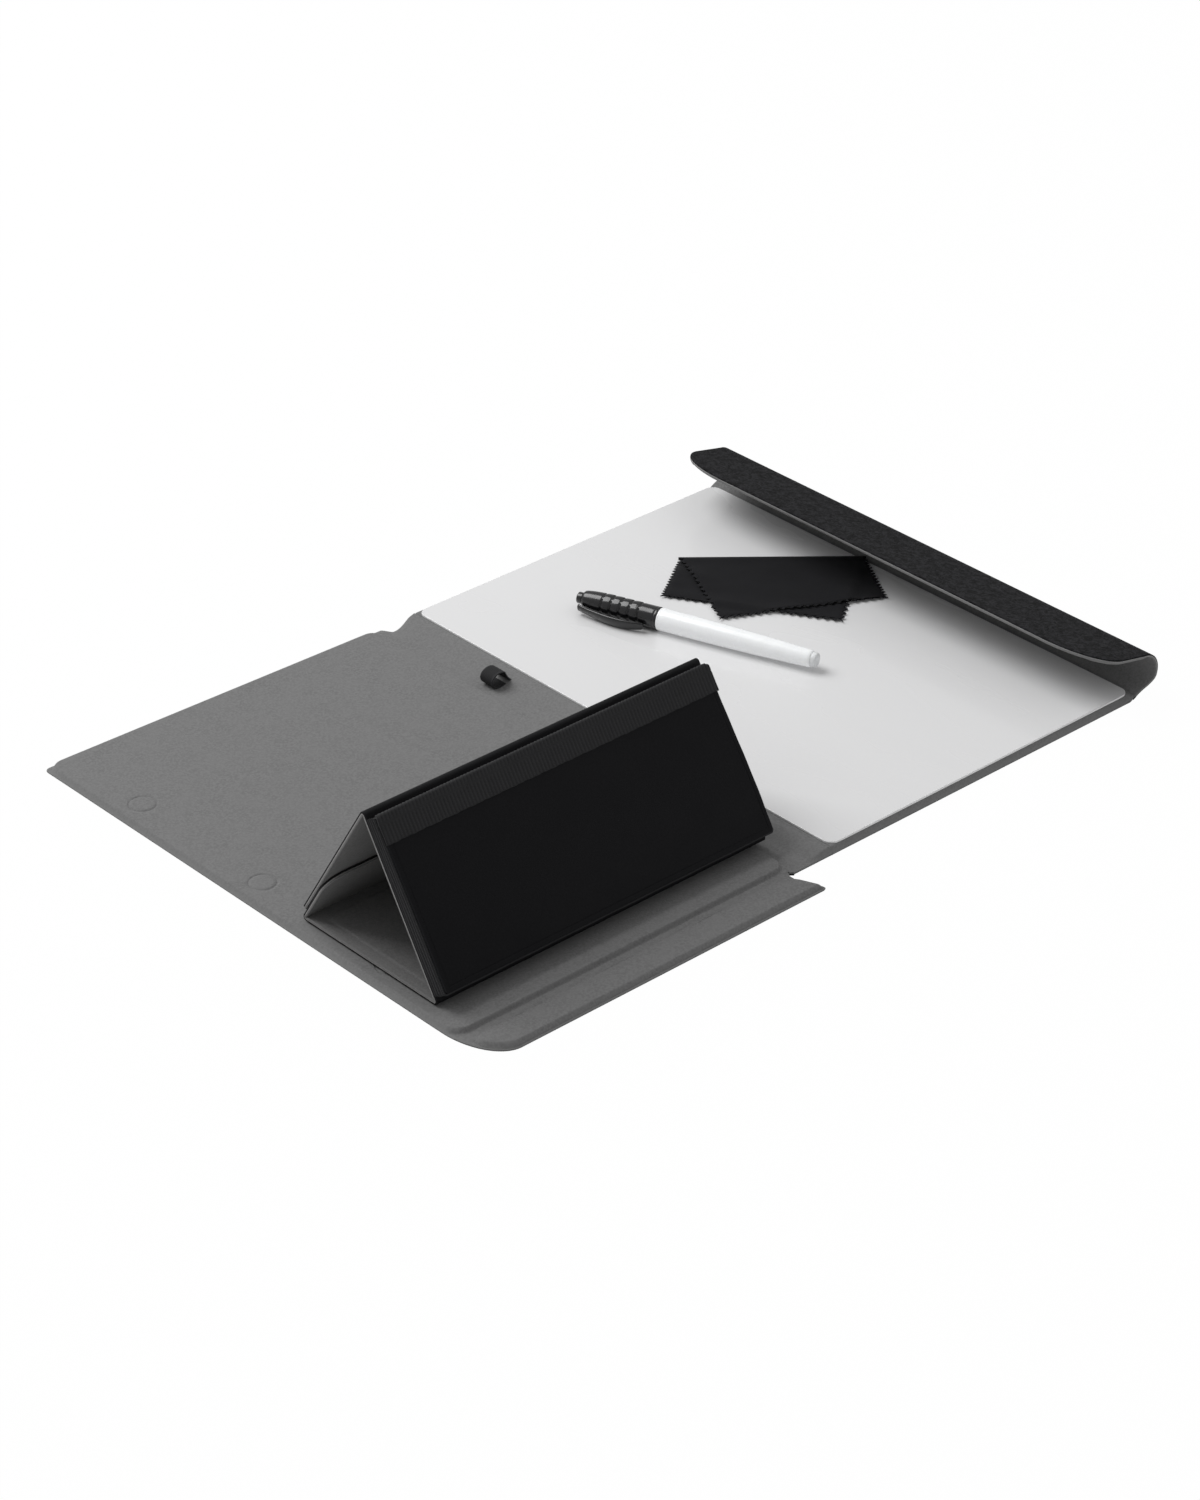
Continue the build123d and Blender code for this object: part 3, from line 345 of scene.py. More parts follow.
def grid_shell(name, upper, lower, finishes, bands=PLAIN_BANDS, wear_and_highlight=None, crisp=38):
    """A closed piece between two grids of points in millimetres.
    finishes are those of the upper face, the lower face and any others. bands divides the
    walls from the upper face down, as (share of the wall, finish) pairs."""
    rows, columns = upper.shape[:2]
    count = rows * columns
    index = np.arange(count).reshape(rows, columns)
    quads = np.stack(
        [index[:-1, :-1], index[:-1, 1:], index[1:, 1:], index[1:, :-1]], axis=-1
    ).reshape(-1, 4)
    points = [upper.reshape(-1, 3), lower.reshape(-1, 3)]
    faces = [quads, quads[:, ::-1] + count]
    looks = [np.zeros(len(quads), int), np.ones(len(quads), int)]
    rim = grid_rim(rows, columns)
    top = upper.reshape(-1, 3)[rim]
    bottom = lower.reshape(-1, 3)[rim]
    above = rim
    total = 2 * count
    for number, (share, look) in enumerate(bands):
        if number == len(bands) - 1:
            below = rim + count
        else:
            points.append(top + (bottom - top) * share)
            below = np.arange(len(rim)) + total
            total += len(rim)
        wall = np.stack([above, np.roll(above, -1), np.roll(below, -1), below], axis=-1)
        faces.append(wall)
        looks.append(np.full(len(wall), look))
        above = below
    points = np.concatenate(points)
    worn_and_highlit = None
    if wear_and_highlight is not None:
        rim_wear_and_highlight = np.asarray(wear_and_highlight).reshape(-1)[rim]
        worn_and_highlit = np.zeros(len(points))
        worn_and_highlit[:count] = np.asarray(wear_and_highlight).reshape(-1)
        worn_and_highlit[count + rim] = rim_wear_and_highlight
        worn_and_highlit[2 * count :] = np.tile(rim_wear_and_highlight, len(bands) - 1)
    faces = np.concatenate(faces).tolist()
    return add_piece(name, points, faces, np.concatenate(looks), finishes, worn_and_highlit, crisp)


def lofted_piece(name, rings, finishes, ends=None, crisp=50):
    """A closed piece through rings of points in millimetres, with a point to close each end."""
    if ends is None:
        ends = rings[[0, -1]].mean(axis=1)
    count, around = rings.shape[:2]
    points = np.concatenate([rings.reshape(-1, 3), ends])
    index = np.arange(count * around).reshape(count, around)
    after = np.roll(index, -1, axis=1)
    quads = np.stack([index[:-1], after[:-1], after[1:], index[1:]], axis=-1)
    faces = quads.reshape(-1, 4).tolist()
    for end, row in ((count * around, 0), (count * around + 1, count - 1)):
        faces += [[int(first), int(second), end] for first, second in zip(index[row], after[row])]
    return add_piece(name, points, faces, [0] * len(faces), finishes, crisp=crisp)


def turned_piece(name, centre, axis, profile, finishes, segments=96, shape=None):
    """A round piece turned about an axis, from (distance along it, radius) pairs that start
    and end on the axis. shape may change the radii, from the distances and the angles."""
    side = np.cross(axis, (0.0, 0.0, 1.0))
    side /= np.linalg.norm(side)
    up = np.cross(side, axis)
    profile = np.asarray(profile, float)
    angles = np.linspace(0, 2 * math.pi, segments, endpoint=False)
    along, turn = np.meshgrid(profile[1:-1, 0], angles, indexing="ij")
    radius = np.repeat(profile[1:-1, 1:2], segments, axis=1)
    if shape is not None:
        radius = shape(along, turn, radius)
    rings = centre + along[..., None] * axis + (radius * np.cos(turn))[..., None] * side
    rings = rings + (radius * np.sin(turn))[..., None] * up
    ends = centre + profile[[0, -1], 0:1] * axis
    return lofted_piece(name, rings, finishes, ends, 38)


def soft_corner(start, corner, end, radius, steps=6):
    """Points of a round corner between two straight runs, for a profile or a section."""
    start, corner, end = (np.asarray(point, float) for point in (start, corner, end))
    before = (start - corner) / np.linalg.norm(start - corner)
    after = (end - corner) / np.linalg.norm(end - corner)
    half = math.acos(np.clip(before @ after, -1, 1)) / 2
    reach = radius / math.tan(half)
    first = corner + before * reach
    last = corner + after * reach
    middle = corner + (before + after) / np.linalg.norm(before + after) * radius / math.sin(half)
    points = []
    for share in np.linspace(0, 1, steps):
        point = first + (last - first) * share
        points.append(tuple(middle + (point - middle) / np.linalg.norm(point - middle) * radius))
    return points


class Finish:
    """A material with a few short ways to add and join its nodes."""

    def __init__(self, name, colour, roughness, **sockets):
        self.material = bpy.data.materials.new(name)
        self.material.use_nodes = True
        self.nodes = self.material.node_tree.nodes
        self.links = self.material.node_tree.links
        self.shader = self.nodes["Principled BSDF"]
        self.colour = (*colour, 1.0)
        self.shader.inputs["Base Color"].default_value = self.colour
        self.shader.inputs["Roughness"].default_value = roughness
        self.adjust(**sockets)
        self.place = self.nodes.new("ShaderNodeTexCoord").outputs["Object"]

    def adjust(self, **sockets):
        """Set the shader's values, named like its sockets."""
        for socket, value in sockets.items():
            self.shader.inputs[socket.replace("_", " ")].default_value = value

    def stretched(self, scale):
        """The place on the piece, stretched along its axes."""
        mapping = self.nodes.new("ShaderNodeMapping")
        mapping.inputs["Scale"].default_value = scale
        self.links.new(self.place, mapping.inputs["Vector"])
        return mapping.outputs["Vector"]

    def grain(self, size, detail=3.0, place=None, distortion=0.0):
        """Noise whose spots are about this many millimetres across."""
        noise = self.nodes.new("ShaderNodeTexNoise")
        noise.inputs["Scale"].default_value = 1 / (size * MM)
        noise.inputs["Detail"].default_value = detail
        noise.inputs["Distortion"].default_value = distortion
        self.links.new(place or self.place, noise.inputs["Vector"])
        return noise.outputs["Fac"]

    def spread(self, value, low, high, to_low=0.0, to_high=1.0):
        """The value with its range stretched and clamped."""
        ramp = self.nodes.new("ShaderNodeMapRange")
        ramp.inputs["From Min"].default_value = low
        ramp.inputs["From Max"].default_value = high
        ramp.inputs["To Min"].default_value = to_low
        ramp.inputs["To Max"].default_value = to_high
        self.links.new(value, ramp.inputs["Value"])
        return ramp.outputs["Result"]

    def maths(self, operation, first, second):
        """One sum of two values, either of which may be a number."""
        sum_node = self.nodes.new("ShaderNodeMath")
        sum_node.operation = operation
        for socket, value in zip(sum_node.inputs, (first, second)):
            if isinstance(value, (int, float)):
                socket.default_value = value
            else:
                self.links.new(value, socket)
        return sum_node.outputs["Value"]

    def tint(self, share, first, second):
        """A colour between two colours, either of which may be a socket."""
        mix = self.nodes.new("ShaderNodeMix")
        mix.data_type = "RGBA"
        self.links.new(share, mix.inputs[0])
        for socket, value in ((mix.inputs[6], first), (mix.inputs[7], second)):
            if hasattr(value, "is_linked"):
                self.links.new(value, socket)
            else:
                socket.default_value = value
        return mix.outputs[2]

    def shade(self, factor):
        """The finish's own colour, made lighter or darker."""
        return (*[min(1.0, part * factor) for part in self.colour[:3]], 1.0)

    def specks(self, noise, low, high, dark, pale):
        """The finish's own colour, from darker to lighter as the noise rises."""
        return self.tint(self.spread(noise, low, high), self.shade(dark), self.shade(pale))

    def paint(self, colour):
        """Use this colour on the shader."""
        self.links.new(colour, self.shader.inputs["Base Color"])

    def paint_worn_and_highlit(self, colour, factor):
        """Use this colour, and the finish's own made lighter where the piece is rubbed and, as painted highlight,
        on the crests of ribs and pleats.
        """
        worn_and_highlit = self.nodes.new("ShaderNodeAttribute")
        worn_and_highlit.attribute_name = "wear_and_highlight"
        self.paint(self.tint(worn_and_highlit.outputs["Fac"], colour, self.shade(factor)))

    def rough(self, value):
        """Use this roughness on the shader."""
        self.links.new(value, self.shader.inputs["Roughness"])

    def relief(self, height, depth, strength=1.0):
        """Raise and sink the surface by this height, up to a depth in millimetres."""
        bump = self.nodes.new("ShaderNodeBump")
        bump.inputs["Strength"].default_value = strength
        bump.inputs["Distance"].default_value = depth * MM
        self.links.new(height, bump.inputs["Height"])
        previous = self.shader.inputs["Normal"]
        if previous.is_linked:
            self.links.new(previous.links[0].from_socket, bump.inputs["Normal"])
        self.links.new(bump.outputs["Normal"], previous)


def napped_cloth(name, colour, fleck, nap_size, nap_depth, sheen):
    """Short-napped cloth: fine flecks, soft clouds where the nap lies differently, pale wear."""
    cloth = Finish(name, colour, 0.88, Sheen_Weight=sheen, Sheen_Roughness=0.45)
    cloth.adjust(Specular_IOR_Level=0.25)
    nap = cloth.grain(nap_size, 5.0)
    clouds = cloth.grain(9.0, 4.0)
    fibres = cloth.grain(nap_size * 0.45, 2.0, cloth.stretched((1.0, 0.45, 1.0)))
    flecks = cloth.specks(nap, 0.38, 0.62, 1 - fleck, 1 + fleck)
    lighter = cloth.tint(cloth.spread(clouds, 0.35, 0.65, 0.0, 0.5), flecks, cloth.shade(1.1))
    cloth.paint_worn_and_highlit(lighter, 1.22)
    cloth.rough(cloth.spread(clouds, 0.3, 0.7, 0.84, 0.94))
    cloth.relief(cloth.maths("ADD", nap, fibres), nap_depth, 0.6)
    return cloth.material


def mottled_felt(name, colour):
    """Needled felt: dark fibres with paler ones on top, uneven at two sizes."""
    felt = Finish(name, colour, 0.95, Sheen_Weight=0.04, Sheen_Roughness=0.5)
    felt.adjust(Specular_IOR_Level=0.06)
    tufts = felt.grain(3.2, 5.0, distortion=0.8)
    fibres = felt.grain(0.7, 4.0, felt.stretched((0.5, 1.0, 1.0)), 0.8)
    mixed = felt.maths("MULTIPLY", tufts, fibres)
    felt.paint_worn_and_highlit(felt.specks(mixed, 0.19, 0.34, 0.5, 2.3), 2.6)
    felt.relief(felt.maths("ADD", tufts, fibres), 0.35, 0.8)
    return felt.material


def cut_layers(name, colour):
    """The pale cut edge of glued layers, with fine lines along it."""
    edge = Finish(name, colour, 0.85)
    lines = edge.grain(0.35, 3.0, edge.stretched((0.08, 0.08, 1.0)))
    edge.paint(edge.specks(lines, 0.35, 0.65, 0.78, 1.15))
    edge.relief(lines, 0.08)
    return edge.material


def grained_skin(name, colour, roughness, grain_size=0.9):
    """Matt coated cloth with a fine pebbled grain."""
    skin = Finish(name, colour, roughness, Specular_IOR_Level=0.12)
    pebbles = skin.nodes.new("ShaderNodeTexVoronoi")
    pebbles.inputs["Scale"].default_value = 1 / (grain_size * MM)
    skin.links.new(skin.place, pebbles.inputs["Vector"])
    pores = pebbles.outputs["Distance"]
    clouds = skin.grain(18.0, 2.0)
    base = skin.specks(pores, 0.1, 0.7, 0.8, 1.12)
    clouded = skin.tint(skin.spread(clouds, 0.4, 0.7, 0.0, 0.4), base, skin.shade(1.18))
    skin.paint_worn_and_highlit(clouded, 2.2)
    skin.rough(skin.spread(clouds, 0.3, 0.7, roughness - 0.05, roughness + 0.06))
    skin.relief(pores, 0.06, 0.5)
    return skin.material


def elastic_cloth(name, colour):
    """Knitted elastic: fine threads over the ribs that the mesh gives."""
    elastic = Finish(name, colour, 0.8, Sheen_Weight=0.04, Sheen_Roughness=0.4)
    elastic.adjust(Specular_IOR_Level=0.2)
    threads = elastic.grain(0.28, 2.0, elastic.stretched((1.0, 0.6, 0.6)))
    patches = elastic.grain(6.0, 2.0)
    knit = elastic.specks(threads, 0.3, 0.7, 0.72, 1.3)
    patchy = elastic.tint(elastic.spread(patches, 0.35, 0.7, 0.0, 0.35), knit, elastic.shade(1.35))
    # lighter on rubbed cut edges, and on rib and pleat crests as painted highlight
    elastic.paint_worn_and_highlit(patchy, 2.4)
    elastic.relief(threads, 0.12, 0.7)
    return elastic.material


def writing_surface(name, colour):
    """Semi-gloss white sheet with a faint rippled shine and traces of wiping."""
    sheet = Finish(name, colour, 0.24, Coat_Weight=0.35, Coat_Roughness=0.1)
    ripples = sheet.grain(3.5, 2.0)
    wipes = sheet.grain(40.0, 3.0, sheet.stretched((1.0, 0.22, 1.0)), 0.4)
    sheet.paint(sheet.tint(sheet.spread(wipes, 0.4, 0.75), sheet.colour, sheet.shade(0.985)))
    sheet.rough(sheet.spread(wipes, 0.3, 0.75, 0.2, 0.32))
    sheet.relief(ripples, 0.012, 0.35)
    return sheet.material


def moulded_plastic(name, colour, roughness, through=0.0, painted_glow=0.0):
    """Glossy moulded plastic with small scuffs, milky where light goes through, and a faint white glow that is
    painted light.
    """
    plastic = Finish(name, colour, roughness, Coat_Weight=0.25, Coat_Roughness=0.08)
    if through:
        plastic.adjust(Subsurface_Weight=through, Subsurface_Radius=(1.0, 1.0, 1.05))
        plastic.adjust(Subsurface_Scale=1.2 * MM)
        # painted light: a white emission glow, though the plastic is no lamp
        plastic.adjust(Emission_Color=WHITE, Emission_Strength=painted_glow)
    scuffs = plastic.grain(5.0, 5.0, distortion=0.5)
    fine = plastic.grain(0.6, 2.0)
    plastic.paint(
        plastic.tint(plastic.spread(scuffs, 0.35, 0.75), plastic.colour, plastic.shade(0.94))
    )
    plastic.rough(plastic.spread(scuffs, 0.35, 0.75, roughness, roughness + 0.1))
    plastic.relief(fine, 0.006, 0.4)
    return plastic.material


def microfibre(name, colour):
    """Fine tightly woven wiping cloth with a soft sheen across its folds."""
    cloth = Finish(name, colour, 0.82, Sheen_Weight=0.08, Sheen_Roughness=0.35)
    cloth.adjust(Specular_IOR_Level=0.15)
    weave = cloth.grain(0.4, 3.0)
    ribs = cloth.grain(0.9, 2.0, cloth.stretched((1.0, 0.35, 1.0)))
    clouds = cloth.grain(14.0, 2.0)
    base = cloth.specks(weave, 0.3, 0.7, 0.8, 1.2)
    clouded = cloth.tint(cloth.spread(clouds, 0.35, 0.7, 0.0, 0.45), base, cloth.shade(1.4))
    cloth.paint_worn_and_highlit(clouded, 1.9)
    cloth.relief(cloth.maths("ADD", weave, ribs), 0.07, 0.6)
    return cloth.material


def hidden_stock(name, colour, roughness, metallic, grain_size):
    """Boards, magnets, glue and felt inside the folio: plain stock with its own grain."""
    stock = Finish(name, colour, roughness, Metallic=metallic)
    grain = stock.grain(grain_size, 4.0)
    stock.paint(stock.specks(grain, 0.3, 0.7, 0.82, 1.15))
    stock.rough(stock.spread(grain, 0.3, 0.7, max(0.05, roughness - 0.08), roughness + 0.08))
    stock.relief(grain, 0.05, 0.4)
    return stock.material


def dress(piece, body=None, nodes=()):
    """Hide the solids that a piece stands for, and attach it to its body."""
    if nodes:
        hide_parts(*nodes)
    if body:
        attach(piece, body)
    return piece


class FOLIO_OT_finishes(bpy.types.Operator):
    """Make the folio's finishes and put them on the solids that stay in view"""

    bl_idname = "folio.finishes"
    bl_label = "Finishes"

    def execute(self, context):
        colours = context.scene.folio_colours
        FINISHES.update(
            lining=napped_cloth("Grey_Lining", colours.lining, 0.115, 1.15, 0.12, 0.04),
            stand_lining=napped_cloth("Stand_Lining", colours.stand_lining, 0.11, 1.1, 0.11, 0.03),
            felt=mottled_felt("Black_Felt", colours.felt),
            cut=cut_layers("Cut_Edge", colours.cut_edge),
            sheet=writing_surface("Writing_Sheet", colours.sheet),
            pocket=grained_skin("Pocket_Face", colours.pocket, 0.62),
            elastic=elastic_cloth("Ribbed_Elastic", colours.elastic),
            stand_cover=grained_skin("Stand_Cover", colours.stand_cover, 0.6),
            # the barrel gets a faint painted glow of 0.14, painted light that softens its shading
            barrel=moulded_plastic("Barrel_White", colours.barrel, 0.22, 0.3, 0.14),
            plug=moulded_plastic("Plug_Milky", colours.barrel, 0.3, 0.35),
            cap=moulded_plastic("Cap_Black", colours.cap, 0.2),
            neck=moulded_plastic("Neck_Black", colours.cap, 0.45),
            nib=hidden_stock("Nib_Felt", (0.015, 0.015, 0.018), 0.9, 0.0, 0.3),
            board=hidden_stock("Core_Board", (0.28, 0.24, 0.19), 0.9, 0.0, 1.2),
            magnet=hidden_stock("Magnet_Nickel", (0.45, 0.45, 0.46), 0.32, 1.0, 0.5),
            glue=hidden_stock("Glue_Pad", (0.09, 0.09, 0.09), 0.75, 0.0, 0.8),
            cloth=microfibre("Wiping_Cloth", colours.cloth),
        )
        by_slot = {
            "folio_cover": "felt",
            "folio_lining": "lining",
            "core_board": "board",
            "writing_sheet": "sheet",
            "magnet": "magnet",
            "adhesive": "glue",
            "stand_cover": "stand_cover",
            "stand_lining": "stand_lining",
            "pocket_face": "pocket",
            "elastic": "elastic",
            "marker_white": "barrel",
            "marker_black": "cap",
            "marker_clear": "plug",
            "marker_neck": "neck",
            "marker_felt": "nib",
            "cloth": "cloth",
        }
        for part in frame["record"]["subparts"]:
            slots = frame["nodes"][part["node"]].data.materials
            slots.clear()
            slots.append(FINISHES[by_slot[part["material_slot"]]])
        return {"FINISHED"}


class Folio:
    """The places of the folio's boards, folds and edges, in millimetres."""

    def __init__(self, context):
        sizes = context.scene.folio_sizes
        self.top = sizes.panel_thickness / MM
        self.strip = sizes.strip_thickness / MM
        self.step = sizes.board_step / MM
        self.round = sizes.edge_round / MM
        self.ring = sizes.ring_depth / MM
        self.wall = 2.1  # from the outline to the edge of a board
        self.board_corner = 6.5
        self.root_top = 3.35  # height of the lining where the curled strip starts
        self.sweep = np.array([19.0, 32.0])  # of the curve from the left side into the front
        self.waist_depth = 5.4
        self.slant = 3.6  # rise of the stand panel's far edge towards the left
        lip_low, lip_high = box_mm("lip_cover")
        stand_board_low, stand_board_high = box_mm("stand_panel_board")
        self.left = lip_low[0]
        self.back = box_mm("stand_panel_cover")[1][1]
        self.stand_right = stand_board_high[0]
        self.stand_front = stand_board_low[1]
        self.board_left = box_mm("board_panel_board")[0][0]
        self.right = box_mm("board_panel_cover")[1][0]
        self.lip_front = lip_low[1]
        self.lip_back = box_mm("lip_board")[1][1]
        self.lip_tip = lip_high[0]
        self.front = box_mm("spine_cover")[0][1] + 2.8
        self.sheet_front = self.front + 2.0
        self.spine_fold = hinge_point("spine_fold")[0]
        self.board_fold = hinge_point("board_fold")[0]
        self.lip_fold = hinge_point("lip_fold")[1]
        self.middle = (self.spine_fold + self.board_fold) / 2

    def rise(self, distance):
        """Height of the lining over a board and down to the strip beside it."""
        return self.strip + (self.top - self.strip) * (1 - ease(distance / self.step))

    def on_strip(self, x, y=0):
        """A place on a flexible strip's lining, in metres."""
        return x * MM, y * MM, self.strip * MM

    def stand_side(self, x, y):
        """Height of the lining over the stand panel's board and around it."""
        across = np.maximum(x - self.stand_right, self.wall - self.left_distance(x, y))
        along = np.maximum(self.stand_front - y, y - self.back + self.wall)
        return self.rise(rounded_distance(across, along, self.board_corner))

    def board_side(self, x, y):
        """Height of the lining over the board under the sheet and around it. It climbs slowly
        from the spine, and ends at the height of the curled strip's skin."""
        climb = ease((x - self.spine_fold - 3) / (self.board_left + 1 - self.spine_fold - 3))
        across = x - self.right + self.wall
        along = np.maximum(self.front + self.wall - y, y - self.back + self.wall)
        beside = rounded_distance(across, along, 4.0)
        low = self.strip + (self.root_top - self.strip) * ease((x - self.right + 7) / 6)
        around = low + (self.top - low) * (1 - ease(beside / self.step))
        return self.strip + (around - self.strip) * climb

    def waist(self, x):
        """How far the flexible spine draws in its ends between the two boards."""
        inward = ease((x - self.spine_fold + 3.2) / 4.4)
        outward = 1 - ease((x - self.spine_fold - 1.2) / 22)
        return self.waist_depth * inward * outward

    def skin(self, height, edge):
        """Upper and lower heights of a skin, from the distance to its outer edges."""
        soft = 0.3 * np.exp(-((edge / 2.0) ** 2))
        upper = height - quarter_round(edge, np.minimum(self.round, height * 0.45)) - soft
        lower = quarter_round(edge, 0.9)
        return upper, lower

    def left_distance(self, x, y):
        """Distance from the left outline, which sweeps in one curve into the lip's front."""
        across = np.maximum(self.left + self.sweep[0] - x, 0.01)
        along = np.maximum(self.lip_front + self.sweep[1] - y, 0)
        reach = np.hypot(across / self.sweep[0], along / self.sweep[1])
        slope = np.hypot(across / self.sweep[0] ** 2, along / self.sweep[1] ** 2)
        return (1 - reach) * reach / slope

    def left_end(self, y):
        """The left outline at each y."""
        run = np.clip(1 - (y - self.lip_front) / self.sweep[1], 0, 1)
        return self.left + self.sweep[0] * (1 - np.sqrt(1 - run**2))


PANEL_BANDS = ((0.82, 0), (1.0, 1))
STRIP_BANDS = ((0.5, 0), (1.0, 1))


def patch(name, x, y, upper, lower, bands, edge=None, finishes=("lining", "felt")):
    """A piece of the folio from its grid of places and its two heights."""
    wear_and_highlight = None
    if edge is not None:
        wear_and_highlight = 0.75 * np.exp(-((edge / 0.9) ** 2))
    top = np.stack([x, y, upper], axis=-1)
    bottom = np.stack([x, y, lower], axis=-1)
    return grid_shell(name, top, bottom, finishes, bands, wear_and_highlight)


def core_board(name, node, body, low, high, corner):
    """A stiff board with rounded corners inside the skins, in place of a solid's square one."""
    bottom, top = box_mm(node)
    runs = []
    for first, last in zip(low, high):
        close = [(first + corner, corner, 1.0), (last - corner, corner, 1.0)]
        runs.append(stations(first, last, 12.0, close))
    x, y = np.meshgrid(*runs)
    x, y = round_corners(x, y, low, high, corner)
    upper = np.full_like(x, top[2] - 0.3)
    lower = np.full_like(x, bottom[2] + 0.3)
    piece = patch(name, x, y, upper, lower, PLAIN_BANDS, finishes=("board", "board"))
    dress(piece, body, [node])


class FOLIO_OT_stand_panel(bpy.types.Operator):
    """Make the skin of the panel that carries the stand, with the magnets' pressed rings"""

    bl_idname = "folio.stand_panel"
    bl_label = "Stand panel"

    def execute(self, context):
        folio = Folio(context)
        low, high = box_mm("closure_magnets")
        magnet_x = (low[0] + high[0]) / 2
        radius = (high[0] - low[0]) / 2
        rings = [high[1] - radius, (low[1] + high[1]) / 2, low[1] + radius]
        near = [(magnet_x, radius + 2.2, 0.3)]
        corner = [(folio.stand_right - 2.5, 3.0, 0.5)]
        xs = stations(folio.left, folio.stand_right, 6.0, near + corner, high_edge=False)
        around = [(ring, radius + 1.6, 0.3) for ring in rings]
        around.append((folio.stand_front + 2.5, 3.0, 0.5))
        ys = stations(folio.stand_front, folio.back, 6.0, around, low_edge=False)
        x, y = np.meshgrid(xs, ys)
        x = x + (folio.left_end(y) - folio.left) * ease((folio.left + 14 - x) / 14)
        edge = np.minimum(folio.left_distance(x, y), folio.back - y)
        height = folio.stand_side(x, y)
        upper, lower = folio.skin(height, edge)
        for ring in rings:
            away = np.hypot(x - magnet_x, y - ring)
            upper = upper - folio.ring * crease_line(away - radius - 0.6, 0.5)
            upper = upper + 0.16 * ease((radius - away) / 1.2)
        x, y = round_corner(x, y, (folio.left, folio.back, -1, 1), 2.5)
        slant = folio.slant * (folio.stand_right - x) / (folio.stand_right - folio.left)
        y = y + slant * ease((y - folio.back + 60) / 60)
        piece = patch("stand_panel_skin", x, y, upper, lower, PANEL_BANDS, edge)
        dress(piece, "stand_panel", ["stand_panel_cover", "stand_panel_liner"])
        low = (folio.left + 4.0, folio.stand_front + 1.2)
        high = (folio.stand_right - 1.2, folio.back - 3.5)
        core_board("stand_panel_core", "stand_panel_board", "stand_panel", low, high, 8.0)
        return {"FINISHED"}


class FOLIO_OT_spine(bpy.types.Operator):
    """Make the flexible spine as two skins that meet in its middle"""

    bl_idname = "folio.spine"
    bl_label = "Spine"

    def execute(self, context):
        folio = Folio(context)
        notch = folio.lip_fold
        xs = np.linspace(folio.stand_right, folio.stand_right + 3, 19)
        xs = np.append(xs, np.linspace(folio.stand_right + 3, folio.middle, 34)[1:])
        ys = stations(0, 1, 0.02, low_edge=False, high_edge=False)
        run = folio.back - folio.front
        close = np.concatenate([EDGE_STEPS / run, np.arange(4, 12, 0.5) / run])
        ys = np.unique(np.round(np.concatenate([ys, close, 1 - EDGE_STEPS / run]), 6))
        x, share = np.meshgrid(xs, ys)
        front = notch + (folio.front - notch) * ease((x - folio.stand_right) / 1.8)
        back = folio.back - folio.waist(x)
        y = front + share * (back - front)
        edge = np.minimum(y - front, back - y)
        height = np.maximum(folio.stand_side(x, y), folio.board_side(x, y))
        free = np.where(x > folio.spine_fold - 6, edge, back - y)
        upper, lower = folio.skin(height, free)
        piece = patch("spine_skin_stand", x, y, upper, lower, STRIP_BANDS, free)
        dress(piece, None, ["spine_cover", "spine_liner"])
        start, end = folio.on_strip(folio.stand_right + 1.8), folio.on_strip(folio.middle)
        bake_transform(piece)
        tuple(start)
        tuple(end)

        xs = np.linspace(folio.middle, folio.board_left - 3, 18)
        xs = np.append(xs, np.linspace(folio.board_left - 3, folio.board_left, 13)[1:])
        x, share = np.meshgrid(xs, ys)
        back = folio.back - folio.waist(x)
        y = folio.front + share * (back - folio.front)
        edge = np.minimum(y - folio.front, back - y)
        height = folio.board_side(x, y)
        upper, lower = folio.skin(height, edge)
        piece = patch("spine_skin_board", x, y, upper, lower, STRIP_BANDS, edge)
        dress(piece)
        start, end = folio.on_strip(folio.middle), folio.on_strip(folio.board_left)
        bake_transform(piece)
        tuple(start)
        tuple(end)
        return {"FINISHED"}


